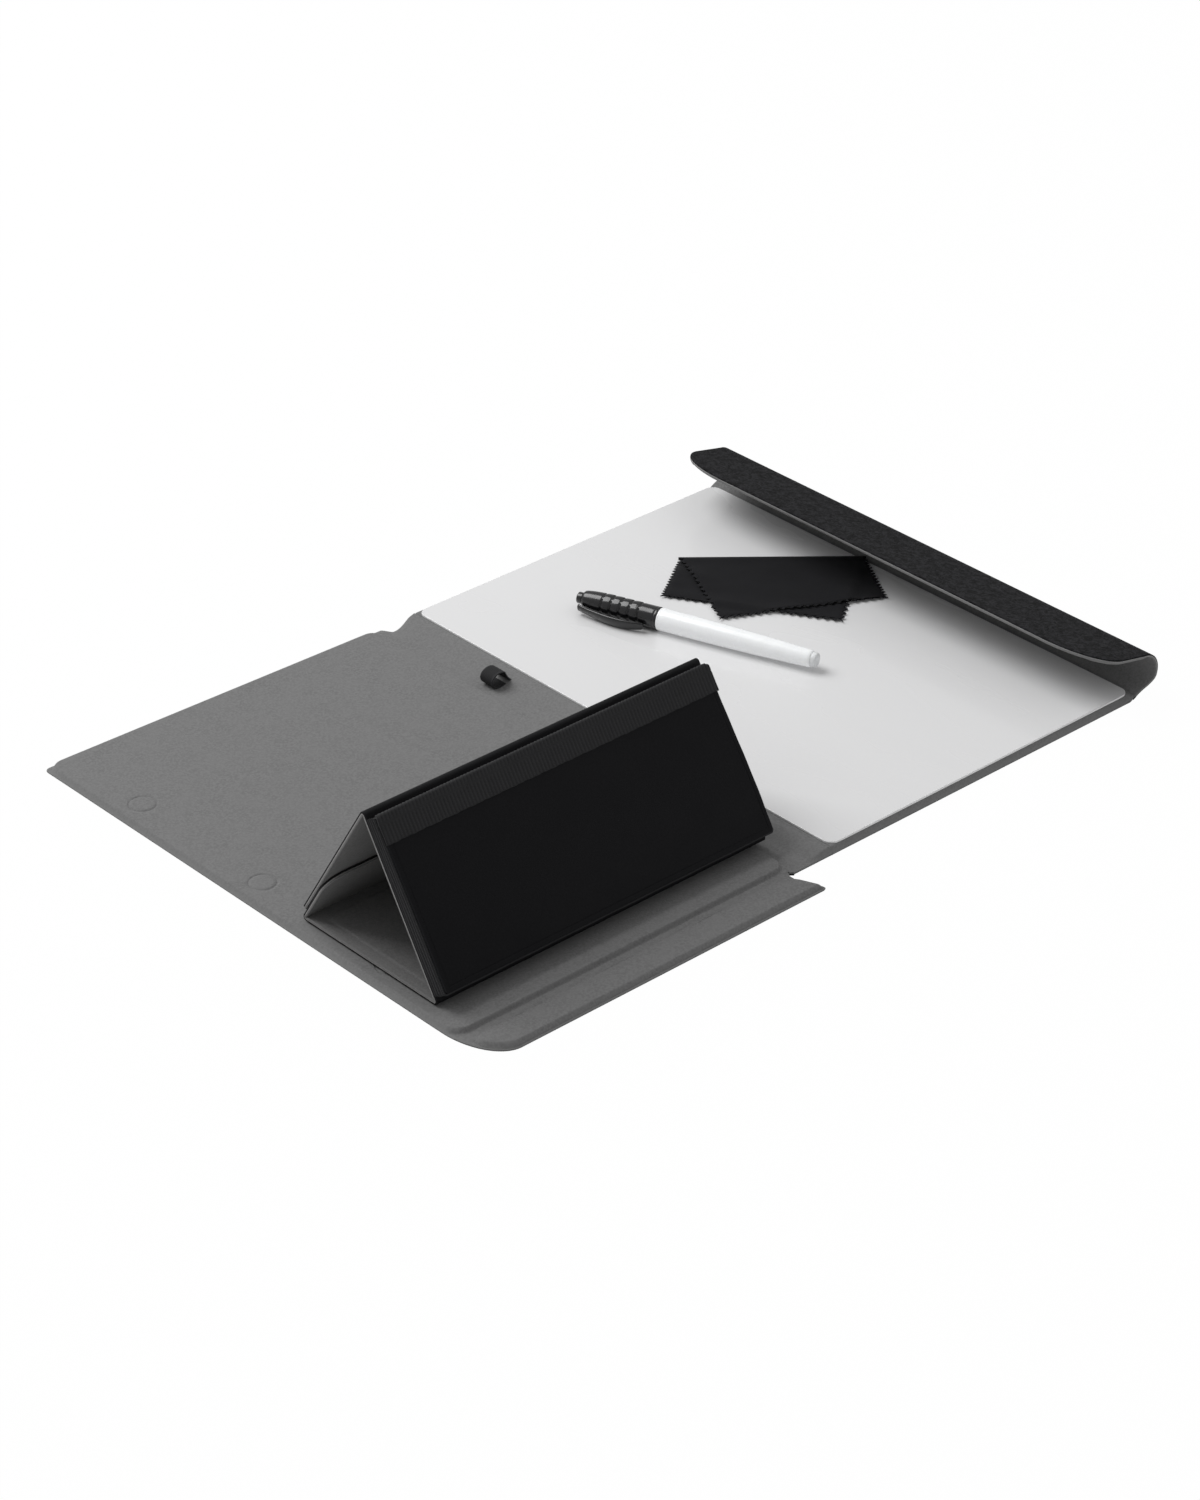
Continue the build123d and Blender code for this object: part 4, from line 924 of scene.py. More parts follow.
class FOLIO_OT_lip(bpy.types.Operator):
    """Make the front lip and the groove along which it folds up"""

    bl_idname = "folio.lip"
    bl_label = "Front lip"

    def execute(self, context):
        folio = Folio(context)
        start, end = folio.stand_front, folio.lip_back

        def sides(y):
            """The left and right ends of the lip and its groove at this y."""
            slant = np.clip((folio.lip_back - 2 - y) / (folio.lip_back - 2 - folio.lip_front), 0, 1)
            vertex = folio.stand_right - 1.3
            free = vertex + (folio.lip_tip - vertex) * slant
            open_end = ease((folio.lip_fold - y + 0.4) / 2.0)
            right = folio.stand_right + (free - folio.stand_right) * open_end
            return folio.left_end(y), right

        def spread(ys, low_free):
            """The places of a stretch of the lip, and their distance to its free edges."""
            length = 200.0
            close = np.concatenate([EDGE_STEPS, np.arange(5, 9, 0.5)]) / length
            shares = np.linspace(0, 1, 60)
            shares = np.unique(np.round(np.concatenate([shares, close, 1 - close]), 6))
            share, y = np.meshgrid(shares, ys)
            left, right = sides(y)
            x = left + share * (right - left)
            edge = folio.left_distance(x, y)
            if low_free:
                edge = np.minimum(edge, right - x)
            else:
                beyond = np.where(y < folio.lip_fold + 0.5, right - x, 50.0)
                edge = np.minimum(edge, beyond)
            return x, y, right, edge

        ys = np.linspace(end, start, 33)
        x, y, right, edge = spread(ys, False)
        height = np.maximum(folio.stand_side(x, y), self.lip_side(folio, x, y, right))
        upper, lower = folio.skin(height, edge)
        piece = patch("lip_groove_skin", x, y, upper, lower, STRIP_BANDS, edge)
        dress(piece, None, ["lip_cover", "lip_liner"])
        first, last = start - 0.8, end + 0.8
        places = folio.on_strip(folio.middle, first), folio.on_strip(folio.middle, last)
        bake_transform(piece)

        ys = stations(folio.lip_front, end, 1.2, high_edge=False)
        x, y, right, edge = spread(ys, True)
        upper, lower = folio.skin(self.lip_side(folio, x, y, right), edge)
        upper = upper + 0.09 * np.sin(x * 0.117) * ease(edge / 5)
        x, y = round_corner(x, y, (folio.lip_tip, folio.lip_front, 1, -1), 2.6)
        piece = patch("lip_skin", x, y, upper, lower, PANEL_BANDS, edge)
        dress(piece, "lip")
        low = (folio.left + 15.0, folio.lip_front + 4.2)
        high = (folio.stand_right - 3.5, folio.lip_back - 1.0)
        core_board("lip_core", "lip_board", "lip", low, high, 5.0)
        return {"FINISHED"}

    def lip_side(self, folio, x, y, right):
        """Height of the lining over the lip's board, which is softly rounded like a pillow."""
        across = np.maximum(folio.wall + 0.6 - folio.left_distance(x, y), x - right + 3.0)
        beside = rounded_distance(across, y - folio.lip_back, 5.5)
        crown = 0.45 * ease((beside + 5.5) / 5.5)
        return folio.rise(beside) - crown * (beside < folio.step)


class FOLIO_OT_board_panel(bpy.types.Operator):
    """Make the panel under the writing sheet, and the sheet itself"""

    bl_idname = "folio.board_panel"
    bl_label = "Board panel and sheet"

    def execute(self, context):
        folio = Folio(context)
        sheet_low, sheet_high = box_mm("whiteboard_sheet")
        near = [(sheet_low[0], 1.2, 0.2), (sheet_low[0] - 2.6, 1.0, 0.2)]
        xs = stations(folio.board_left, folio.right, 7.0, near, low_edge=False)
        ys = stations(folio.front, folio.back, 7.0)
        x, y = np.meshgrid(xs, ys)
        y = y - folio.waist(x) * ease((y - folio.back + 30) / 30)
        edge = np.minimum(y - folio.front, folio.back - folio.waist(x) - y)
        upper, lower = folio.skin(folio.board_side(x, y), edge)
        lower = lower + (folio.root_top - 1.5) * ease((x - folio.right + 4) / 4)
        upper = upper + 0.3 * crease_line(x - sheet_low[0] + 1.3, 0.8)
        upper = upper - 0.5 * crease_line(x - sheet_low[0] + 0.45, 0.4)
        piece = patch("board_panel_skin", x, y, upper, lower, PANEL_BANDS, edge)
        dress(piece, "board_panel", ["board_panel_cover", "board_panel_liner"])
        low = (folio.board_left + 1.5, folio.front + 3.0)
        high = (folio.right - 3.2, folio.back - 3.4)
        core_board("board_panel_core", "board_panel_board", "board_panel", low, high, 4.5)

        sheet_low[1] = folio.sheet_front
        xs = stations(sheet_low[0], sheet_high[0], 8.0)
        ys = stations(sheet_low[1], sheet_high[1], 8.0)
        x, y = np.meshgrid(xs, ys)
        edge = np.minimum(x - sheet_low[0], sheet_high[0] - x)
        edge = np.minimum(edge, np.minimum(y - sheet_low[1], sheet_high[1] - y))
        upper = sheet_high[2] - quarter_round(edge, 0.25)
        lower = np.full_like(x, sheet_low[2] - 0.35)
        corner = context.scene.folio_sizes.sheet_corner / MM
        x, y = round_corners(x, y, sheet_low, sheet_high, corner)
        places = x, y, upper, lower
        piece = patch("writing_sheet", *places, PLAIN_BANDS, finishes=("sheet", "sheet"))
        dress(piece, "board_panel", ["whiteboard_sheet"])
        return {"FINISHED"}


class Curl:
    """The line of the curled strip and of the flap, in x and z, from the joints' places."""

    def __init__(self):
        self.hinges = [hinge_point(f"flap_curl_{number}")[[0, 2]] for number in (1, 2, 3, 4)]
        self.centre, self.outer = self.circle(*self.hinges[1:])
        self.skin = 0.8  # half the strip's thickness
        self.radius = self.outer - self.skin
        self.root = np.array([box_mm("board_panel_cover")[1][0], 2.6])
        reach = self.centre - self.root
        distance = np.linalg.norm(reach)
        self.root_angle = math.atan2(reach[1], reach[0]) - math.asin(self.radius / distance)
        turn = self.direction(self.hinges[3]) - self.direction(self.hinges[2])
        self.end_angle = self.direction(self.hinges[3]) + turn / 2
        self.folds = [self.direction(hinge) for hinge in self.hinges[1:]]

    def circle(self, first, second, third):
        """The centre and radius of the circle through three points."""
        rows = np.array([second - first, third - first])
        squares = np.array([second @ second - first @ first, third @ third - first @ first]) / 2
        centre = np.linalg.solve(rows, squares)
        return centre, np.linalg.norm(first - centre)

    def direction(self, point):
        """The strip's direction where it passes a point of the circle."""
        away = np.asarray(point) - self.centre
        return math.atan2(away[1], away[0]) + math.pi / 2

    def on_arc(self, angle):
        """A point of the strip's middle line and the direction inward from there."""
        away = np.array([math.cos(angle - math.pi / 2), math.sin(angle - math.pi / 2)])
        return self.centre + away * self.radius, -away

    def between(self, first, last, count):
        """Points and inward directions along the arc between two directions of travel."""
        return [self.on_arc(angle) for angle in np.linspace(first, last, count)]

    def start(self):
        """The straight stretch from inside the panel's edge to where the arc begins."""
        along = np.array([math.cos(self.root_angle), math.sin(self.root_angle)])
        inward = np.array([-along[1], along[0]])
        arc_start, _ = self.on_arc(self.root_angle)
        first = self.root - along * 2.2
        return [(first + (arc_start - first) * share, inward) for share in np.linspace(0, 1, 10)]


def curl_stretch(name, line, skin, nears, ends, finishes):
    """A stretch of the curled skin, which reaches as far as skin to both sides of its middle
    line. nears and ends give its near and far edges at each point of the line."""
    near = nears[0]
    drawn = 100.0  # distance from the middle over which the edges are moved
    ys = stations(near, ends[0], 6.0)
    points = np.array([point for point, _ in line])
    inward = np.array([direction for _, direction in line])
    edge = np.minimum(ys - near, ends[0] - ys)
    depth = skin - quarter_round(edge, 0.35)
    y = ys + (ends - ends[0])[:, None] * ease(ys / drawn)
    y += (nears - near)[:, None] * ease(-ys / drawn)
    grids = []
    for side in (1, -1):
        x = points[:, 0:1] + inward[:, 0:1] * side * depth
        z = points[:, 1:2] + inward[:, 1:2] * side * depth
        grids.append(np.stack([x, y, z], axis=-1))
    bands = ((0.22, 0), (0.42, 2), (0.55, 0), (0.74, 2), (1.0, 1))
    return grid_shell(name, *grids, finishes, bands)


class FOLIO_OT_curl(bpy.types.Operator):
    """Make the curled strip between the board panel and the flap, in four stretches along its curve"""

    bl_idname = "folio.curl"
    bl_label = "Curled strip"

    def execute(self, context):
        curl = Curl()
        finishes = ("lining", "felt", "cut")
        flap_end = box_mm("flap_strip_1_cover")[1][1]
        panel_end = box_mm("board_panel_cover")[1][1]
        front = Folio(context).front
        first = curl.folds[0]
        middles = [(curl.root_angle + first) / 2]
        middles += [(near + far) / 2 for near, far in zip(curl.folds, curl.folds[1:])]
        stretches = [
            ("curl_root_skin", "board_panel", "flap_strip_1"),
            ("curl_skin_1", "flap_strip_1", "flap_strip_2"),
            ("curl_skin_2", "flap_strip_2", "flap_strip_3"),
            ("curl_skin_3", "flap_strip_3", "flap"),
        ]
        angles = [curl.root_angle, *middles, curl.end_angle]
        for number, (name, before, after) in enumerate(stretches):
            line = curl.between(angles[number], angles[number + 1], 14)
            if number == 0:
                line = curl.start()[:-1] + line
            heights = np.array([point[1] for point, _ in line])
            drawn = ease((heights - curl.root[1]) / 9.0) if number < 2 else np.ones(len(line))
            ends = panel_end + (flap_end - panel_end) * drawn
            nears = front + (-flap_end - front) * drawn
            piece = curl_stretch(name, line, curl.skin, nears, ends, finishes)
            strip = number + 1
            nodes = [f"flap_strip_{strip}_cover", f"flap_strip_{strip}_liner"]
            dress(piece, None, nodes if strip < 4 else [])
            places = [line[0][0], line[-1][0]]
            start, end = [(point[0] * MM, 0, point[1] * MM) for point in places]
            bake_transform(piece)
            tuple(start)
            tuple(end)
        return {"FINISHED"}


class FOLIO_OT_flap(bpy.types.Operator):
    """Make the felt-faced closing flap with its pale layered edge"""

    bl_idname = "folio.flap"
    bl_label = "Closing flap"

    def execute(self, context):
        curl = Curl()
        start, inward = curl.on_arc(curl.end_angle)
        along = np.array([inward[1], -inward[0]])
        ends = box_mm("flap_cover")[1][1]
        reach = (start[0] - box_mm("flap_cover")[0][0]) / -along[0]
        longest, magnet_row, radius = 36.9, 19.0, 6.0
        width = min(reach, longest)
        taper = np.array(context.scene.folio_sizes.flap_taper) / MM
        us = stations(0, width, 1.6, [(1.5, 1.5, 0.25)], low_edge=False)
        vs = stations(-ends, ends, 3.0)
        u, v = np.meshgrid(us, vs)
        edge = np.minimum(width - u, np.minimum(v + ends, ends - v))
        thick = curl.skin + 1.0 * ease(u / 2.6) * ease((edge + 0.4) / 1.6)
        inner = thick - quarter_round(edge, 0.5)
        outer = -curl.skin + quarter_round(edge, 0.5)
        near, far = box_mm("flap_magnets")[0][1] + radius, box_mm("flap_magnets")[1][1] - radius
        for row in (near, (near + far) / 2, far):
            away = np.hypot(u - magnet_row, v - row)
            inner = inner - 0.2 * crease_line(away - radius - 0.6, 0.5)
        inner = inner - 0.18 * crease_line(edge - 3.0, 0.5) * ease((u - 3) / 3)
        for out_v, corner_v in ((-1, -ends), (1, ends)):
            u, v = round_corner(u, v, (width, corner_v, 1, out_v), taper)

        def placed(depth):
            """Points of the flap from their depth inward of the middle line."""
            x = start[0] + along[0] * u + inward[0] * depth
            z = start[1] + along[1] * u + inward[1] * depth
            return np.stack([x, v, z], axis=-1)

        bands = ((0.3, 0), (0.44, 2), (0.54, 0), (0.7, 2), (1.0, 1))
        finishes = ("lining", "felt", "cut")
        wear_and_highlight = 0.2 * np.exp(-((edge / 1.0) ** 2))
        piece = grid_shell("flap_skin", placed(inner), placed(outer), finishes, bands, wear_and_highlight)
        dress(piece, "flap", ["flap_cover", "flap_liner"])
        return {"FINISHED"}


class Leaf:
    """A leaf of the stand: its fold, the direction from the fold to its far end and outward."""

    def __init__(self, fold, reach, outward, length, left, right, thickness):
        self.fold = np.asarray(fold, float)
        self.reach = np.asarray(reach, float)
        self.outward = np.asarray(outward, float)
        self.length = length
        self.left = left
        self.right = right
        self.thickness = thickness

    def at(self, x, v, w):
        """Points from x, the distance from the fold, and the depth outward."""
        y = self.fold[0] + self.reach[0] * v + self.outward[0] * w
        z = self.fold[1] + self.reach[1] * v + self.outward[1] * w
        return np.stack(np.broadcast_arrays(x, y, z), axis=-1)


class Stand:
    """The stand's leaves and folds, in millimetres, from the joints and the solids."""

    def __init__(self, context):
        sizes = context.scene.stand_sizes
        thickness = sizes.leaf_thickness / MM
        front = hinge_point("stand_fold")[1:]
        apex = hinge_point("stand_back_fold")[1:]
        back = hinge_point("stand_tab_fold")[1:]
        low, high = box_mm("front_leg_cover")
        left, right = low[0], high[0]
        leg = apex - front
        leg_length = np.linalg.norm(leg)
        leg /= leg_length
        lean = sizes.back_lean
        down = np.array([math.cos(lean), -math.sin(lean)])
        out = np.array([math.sin(lean), math.cos(lean)])
        back_length = sizes.back_leg / MM
        tab_length = sizes.tab_length / MM
        span = left, right, thickness
        base_length = back[0] - front[0]
        self.base = Leaf(front, (1.0, 0.0), (0.0, -1.0), base_length, *span)
        self.front = Leaf(front, leg, (-leg[1], leg[0]), leg_length, *span)
        self.back = Leaf(apex, down, out, back_length, *span)
        self.tab = Leaf(back, -down, out, tab_length, *span)
        self.thickness = thickness
        self.left = left
        self.right = right
        self.tab_corner = sizes.tab_corner / MM


LEAF_BANDS = ((0.34, 0), (0.62, 2), (1.0, 1))


def leaf_skin(name, leaf, corner=0.0, board=None, rings=None, start=0.0):
    """A leaf of the stand: lining inside, black cover outside, pale cut edges."""
    near = []
    across = []
    if board:
        near = [(board, 2.0, 0.3), (leaf.length - board, 2.0, 0.3)]
        across = [(leaf.left + board, 2.0, 0.3), (leaf.right - board, 2.0, 0.3)]
    if rings:
        up, places, radius = rings
        near.append((up, radius + 1.2, 0.35))
        across += [(place, radius + 1.2, 0.35) for place in places]
    xs = stations(leaf.left, leaf.right, 5.0, across)
    vs = stations(start, leaf.length, 4.0, near, low_edge=False, high_edge=corner > 0)
    x, v = np.meshgrid(xs, vs)
    sides = np.minimum(x - leaf.left, leaf.right - x)
    edge = np.minimum(sides, leaf.length - v) if corner > 0 else sides
    inner = quarter_round(edge, 0.35) + 0.05 * crease_line(edge - 1.6, 0.4)
    outer = leaf.thickness - quarter_round(edge, 0.35)
    if board:
        out_x = np.maximum(leaf.left + board - x, x - leaf.right + board)
        out_v = np.maximum(board - v, v - leaf.length + board)
        distance = rounded_distance(out_x, out_v, 5)
        inner = inner - 0.38 * (1 - ease((distance + 0.8) / 1.6))
    if rings:
        for place in places:
            away = np.hypot(x - place, v - up)
            inner = inner + 0.2 * crease_line(away - radius - 0.3, 0.45)
            inner = inner - 0.1 * ease((radius - away) / 1.5)
    if corner > 0:
        for out_x, corner_x in ((-1, leaf.left), (1, leaf.right)):
            x, v = round_corner(x, v, (corner_x, leaf.length, out_x, 1), corner)
    finishes = ("stand_lining", "stand_cover", "cut")
    wear_and_highlight = 0.15 * np.exp(-((edge / 0.6) ** 2))
    return grid_shell(name, leaf.at(x, v, inner), leaf.at(x, v, outer), finishes, LEAF_BANDS, wear_and_highlight)


def leaf_fold(name, stand, first, second, swing):
    """The skin that turns round the outside of a fold, from one leaf's end to the next's.
    swing is the side to which it turns, seen from the positive x end: 1 or -1."""
    edge_x = stations(stand.left, stand.right, 6.0)
    start_angle = math.atan2(first.outward[1], first.outward[0])
    end_angle = math.atan2(second.outward[1], second.outward[0])
    sweep = (end_angle - start_angle) % (2 * math.pi)
    if swing < 0:
        sweep -= 2 * math.pi
    angles = start_angle + np.linspace(0, 1, 15) * sweep
    hinge = second.fold
    x, angle = np.meshgrid(edge_x, angles)
    side = np.minimum(x - stand.left, stand.right - x)
    inner = 0.02 + quarter_round(side, 0.35)
    outer = stand.thickness - quarter_round(side, 0.35)
    grids = []
    for radius in (inner, outer):
        y = hinge[0] + np.cos(angle) * radius
        z = hinge[1] + np.sin(angle) * radius
        grids.append(np.stack([x, y, z], axis=-1))
    finishes = ("stand_lining", "stand_cover", "cut")
    piece = grid_shell(name, grids[0], grids[1], finishes, LEAF_BANDS)
    ends = []
    for outward in (first.outward, second.outward):
        place = hinge + outward * stand.thickness
        ends.append((stand.left * MM, place[0] * MM, place[1] * MM))
    return piece, ends


class FOLIO_OT_stand(bpy.types.Operator):
    """Make the stand's base, legs and tab, with cloth that turns round each fold"""

    bl_idname = "folio.stand"
    bl_label = "Folding stand"

    def execute(self, context):
        stand = Stand(context)
        base = leaf_skin("stand_base_skin", stand.base, board=6.5)
        dress(base, "stand_panel", ["stand_base_lining", "stand_base_cover"])
        front = leaf_skin("front_leg_skin", stand.front, board=5.0)
        dress(front, "stand_front", ["front_leg_lining", "front_leg_cover"])
        places = []
        radius = 5.0
        for node in ("back_leg_magnets", "tab_magnets"):
            low, high = box_mm(node)
            places.append(([low[0] + radius, high[0] - radius], (low[2] + high[2]) / 2))
        sine = abs(stand.tab.reach[1])
        half = stand.thickness / 2 * stand.tab.outward[1]
        back_up = (stand.back.fold[1] + half - places[0][1]) / sine
        tab_up = (places[1][1] - half - stand.tab.fold[1]) / sine
        back = leaf_skin("back_leg_skin", stand.back, 2.0, rings=(back_up, places[0][0], radius))
        dress(back, "stand_back", ["back_leg_lining", "back_leg_cover"])
        rings = (tab_up, places[1][0], radius)
        tab = leaf_skin("tab_skin", stand.tab, stand.tab_corner, rings=rings)
        dress(tab, "stand_tab", ["tab_lining", "tab_cover"])
        folds = (
            ("front_fold_skin", stand.base, stand.front, -1, "stand_panel", "stand_front"),
            ("apex_fold_skin", stand.front, stand.back, -1, "stand_front", "stand_back"),
            ("tab_fold_skin", stand.base, stand.tab, 1, "stand_panel", "stand_tab"),
        )
        for name, first, second, swing, before, after in folds:
            piece, (start, end) = leaf_fold(name, stand, first, second, swing)
            dress(piece)
            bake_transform(piece)
            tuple(start)
            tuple(end)
        return {"FINISHED"}


class Pocket:
    """The pocket's depths outward of the front leg, and its lengths along it, in millimetres."""

    def __init__(self, context):
        self.stand = Stand(context)
        self.leaf = self.stand.front
        self.half = (self.stand.right - self.stand.left) / 2
        self.middle = (self.stand.right + self.stand.left) / 2
        self.floor = self.stand.thickness
        outward = self.leaf.outward
        self.depths = {}
        self.lengths = {}
        for node in ("pocket_gusset", "pocket_face", "pocket_band"):
            away = node_points(node)[:, 1:] - self.leaf.fold
            depth = away @ outward
            length = away @ self.leaf.reach
            self.depths[node] = depth.min(), depth.max()
            self.lengths[node] = length.min(), length.max()
        self.bottom = self.lengths["pocket_gusset"][0]
        self.top = self.lengths["pocket_gusset"][1]

    def at(self, u, v, w):
        """Points from the place across, along and outward. The elastic draws the pocket's
        mouth in towards the leg, most at its right end."""
        pull = 0.16 + 0.26 * np.clip((u + self.half) / (2 * self.half), 0, 1)
        pull = pull * ease((v - 15) / (self.top - 15))
        return self.leaf.at(self.middle + u, v, self.floor + (w - self.floor) * (1 - pull))


class FOLIO_OT_pocket(bpy.types.Operator):
    """Make the pleated sides, the matt face and the ribbed elastic band of the pocket"""

    bl_idname = "folio.pocket"
    bl_label = "Elastic pocket"

    def execute(self, context):
        pocket = Pocket(context)
        self.make_gusset(context, pocket)
        self.make_face(pocket)
        self.make_band(context, pocket)
        return {"FINISHED"}

    def make_gusset(self, context, pocket):
        """The pleated strip round the pocket's two sides and its bottom."""
        half, bottom, top = pocket.half - 0.1, pocket.bottom, pocket.top
        corner = 1.6
        line = []
        for v in np.linspace(top, bottom + corner, 40):
            line.append(((-half, v), (-1.0, 0.0)))
        line += self.rounded_turn((-half + corner, bottom + corner), corner, 180)
        for u in np.linspace(-half + corner, half - corner, 60)[1:]:
            line.append(((u, bottom), (0.0, -1.0)))
        line += self.rounded_turn((half - corner, bottom + corner), corner, 270)
        for v in np.linspace(bottom + corner, top, 40)[1:]:
            line.append(((half, v), (1.0, 0.0)))
        places = np.array([place for place, _ in line])
        away = np.array([direction for _, direction in line])
        low, high = pocket.depths["pocket_gusset"]
        pleats = context.scene.stand_sizes.pleats
        depths = np.linspace(low, high, pleats * 10 + 1)
        share = (depths - low) / (high - low)
        fold = 0.9 * (1 - np.abs(np.cos(math.pi * pleats * share)) ** 0.7)
        along = np.arange(len(line))[:, None]
        soft = 0.06 * np.sin(along * 0.7 + share[None, :] * 9)
        grids = []
        for back_off in (0.0, 0.7):
            inward = fold[None, :] + back_off + soft
            uv = places[:, None, :] - away[:, None, :] * inward[..., None]
            depth = np.broadcast_to(depths[None, :], uv.shape[:2])
            grids.append(pocket.at(uv[..., 0], uv[..., 1], depth))
        # painted highlight: the pleats' outer crests are made lighter, as where they catch the light
        wear_and_highlight = np.broadcast_to(0.45 * (1 - fold / 0.9)[None, :] ** 2, grids[0].shape[:2])
        finishes = ("elastic", "elastic")
        piece = grid_shell("pocket_gusset_pleats", *grids, finishes, wear_and_highlight=wear_and_highlight, crisp=60)
        dress(piece, "stand_front", ["pocket_gusset"])

    def rounded_turn(self, centre, corner, start):
        """Places and outward directions along a quarter turn that starts at an angle."""
        line = []
        for angle in np.radians(np.linspace(start, start + 90, 12)[1:]):
            away = np.array([math.cos(angle), math.sin(angle)])
            line.append((np.array(centre) + corner * away, away))
        return line

    def make_face(self, pocket):
        """The flat face, slightly crowned, with its stitched seam and turned edge."""
        low, high = pocket.depths["pocket_face"]
        bottom, top = pocket.lengths["pocket_face"]
        half = pocket.half - 0.8
        seam = 2.6
        xs = stations(-half, half, 4.0, [(-half + seam, 0.8, 0.16), (half - seam, 0.8, 0.16)])
        vs = stations(bottom, top, 3.0, [(bottom + seam, 1.0, 0.16)])
        u, v = np.meshgrid(xs, vs)
        edge = np.minimum(np.minimum(u + half, half - u), v - bottom)
        crown = 0.35 * (1 - (u / half) ** 2) * np.sin(math.pi * np.clip((v - bottom) / 75, 0, 1))
        outer = high + crown * 0.6 - quarter_round(edge, 0.6)
        outer = outer - 0.22 * crease_line(edge - seam, 0.28)
        stitch = 0.5 + 0.5 * np.cos(2 * math.pi * (u + v) / 2.6)
        outer = outer - 0.06 * crease_line(edge - seam, 0.3) * stitch
        inner = low + quarter_round(edge, 0.3)
        for out_u, corner_u in ((-1, -half), (1, half)):
            u, v = round_corner(u, v, (corner_u, bottom, out_u, -1), 1.8)
        wear_and_highlight = 0.5 * np.exp(-((edge / 0.5) ** 2))
        grids = pocket.at(u, v, outer), pocket.at(u, v, inner)
        piece = grid_shell("pocket_face_panel", *grids, ("pocket", "pocket"), wear_and_highlight=wear_and_highlight)
        dress(piece, "stand_front", ["pocket_face"])

    def make_band(self, context, pocket):
        """The ribbed elastic, sewn to the face and rolled over the pocket's mouth."""
        sizes = context.scene.stand_sizes
        pitch, rib = sizes.rib_pitch / MM, sizes.rib_depth / MM
        low, high = pocket.depths["pocket_band"]
        bottom, top = pocket.lengths["pocket_band"]
        half = pocket.half
        section = [(bottom, high - 0.35), (bottom + 0.3, high - 0.05)]
        section += [(v, high) for v in np.linspace(bottom + 0.8, top - 5.4, 12)]
        section += [(top - 5.0, high - 0.05), (top - 4.7, high - 0.32), (top - 4.4, high - 0.4)]
        section += [(top - 4.1, high - 0.32), (top - 3.8, high - 0.05), (top - 3.4, high)]
        section += soft_corner((top - 3.0, high), (top, high), (top, low), 1.5, 9)
        section += [(top, depth) for depth in np.linspace(high - 1.9, low + 0.6, 5)]
        section += soft_corner((top, low + 0.6), (top, low), (top - 0.9, low), 0.4, 4)
        section = np.array(section)
        run = np.gradient(section, axis=0)
        run /= np.linalg.norm(run, axis=1, keepdims=True)
        inward = np.stack([run[:, 1], -run[:, 0]], axis=1)
        thickness = np.clip(np.linspace(0.4, 1.1, len(section)), 0.4, 0.95)
        us = np.arange(-half, half + pitch / 12, pitch / 6)
        us = us * half / us[-1]
        rib_wave = (0.5 - 0.5 * np.cos(2 * math.pi * us / pitch)) ** 2
        hem = crease_line(section[:, 0] - (top - 4.4), 0.7) * (section[:, 1] > low + 1.5)
        ribbed = (1 - hem) * ease((section[:, 0] - bottom) / 0.6)
        ripple = 0.1 * np.sin(us * 0.55) + 0.07 * np.sin(us * 1.31 + 1.0)
        lower = np.exp(-((section[:, 0] - bottom) / 2.5))
        grids = []
        for number, offset in enumerate((np.zeros(len(section)), thickness)):
            groove = rib * rib_wave[None, :] * ribbed[:, None] if number == 0 else 0.0
            depth_in = offset[:, None] + groove + 0 * us[None, :]
            v = section[:, 0:1] + inward[:, 0:1] * depth_in + ripple[None, :] * lower[:, None]
            w = section[:, 1:2] + inward[:, 1:2] * depth_in
            u = np.broadcast_to(us[None, :], v.shape)
            for out_u, corner_u in ((-1, -half), (1, half)):
                u, v = round_corner(u, v, (corner_u, top, out_u, 1), 2.5)
            grids.append(pocket.at(u, v, w))
        # painted highlight on the crests of the ribs; the hem's stitch line is made lighter too
        crest = ribbed[:, None] * (1 - rib_wave[None, :]) ** 1.5
        wear_and_highlight = 0.3 * crest + 0.2 * hem[:, None]
        finishes = ("elastic", "elastic")
        piece = grid_shell("pocket_band_ribs", *grids, finishes, wear_and_highlight=wear_and_highlight, crisp=60)
        dress(piece, "stand_front", ["pocket_band"])


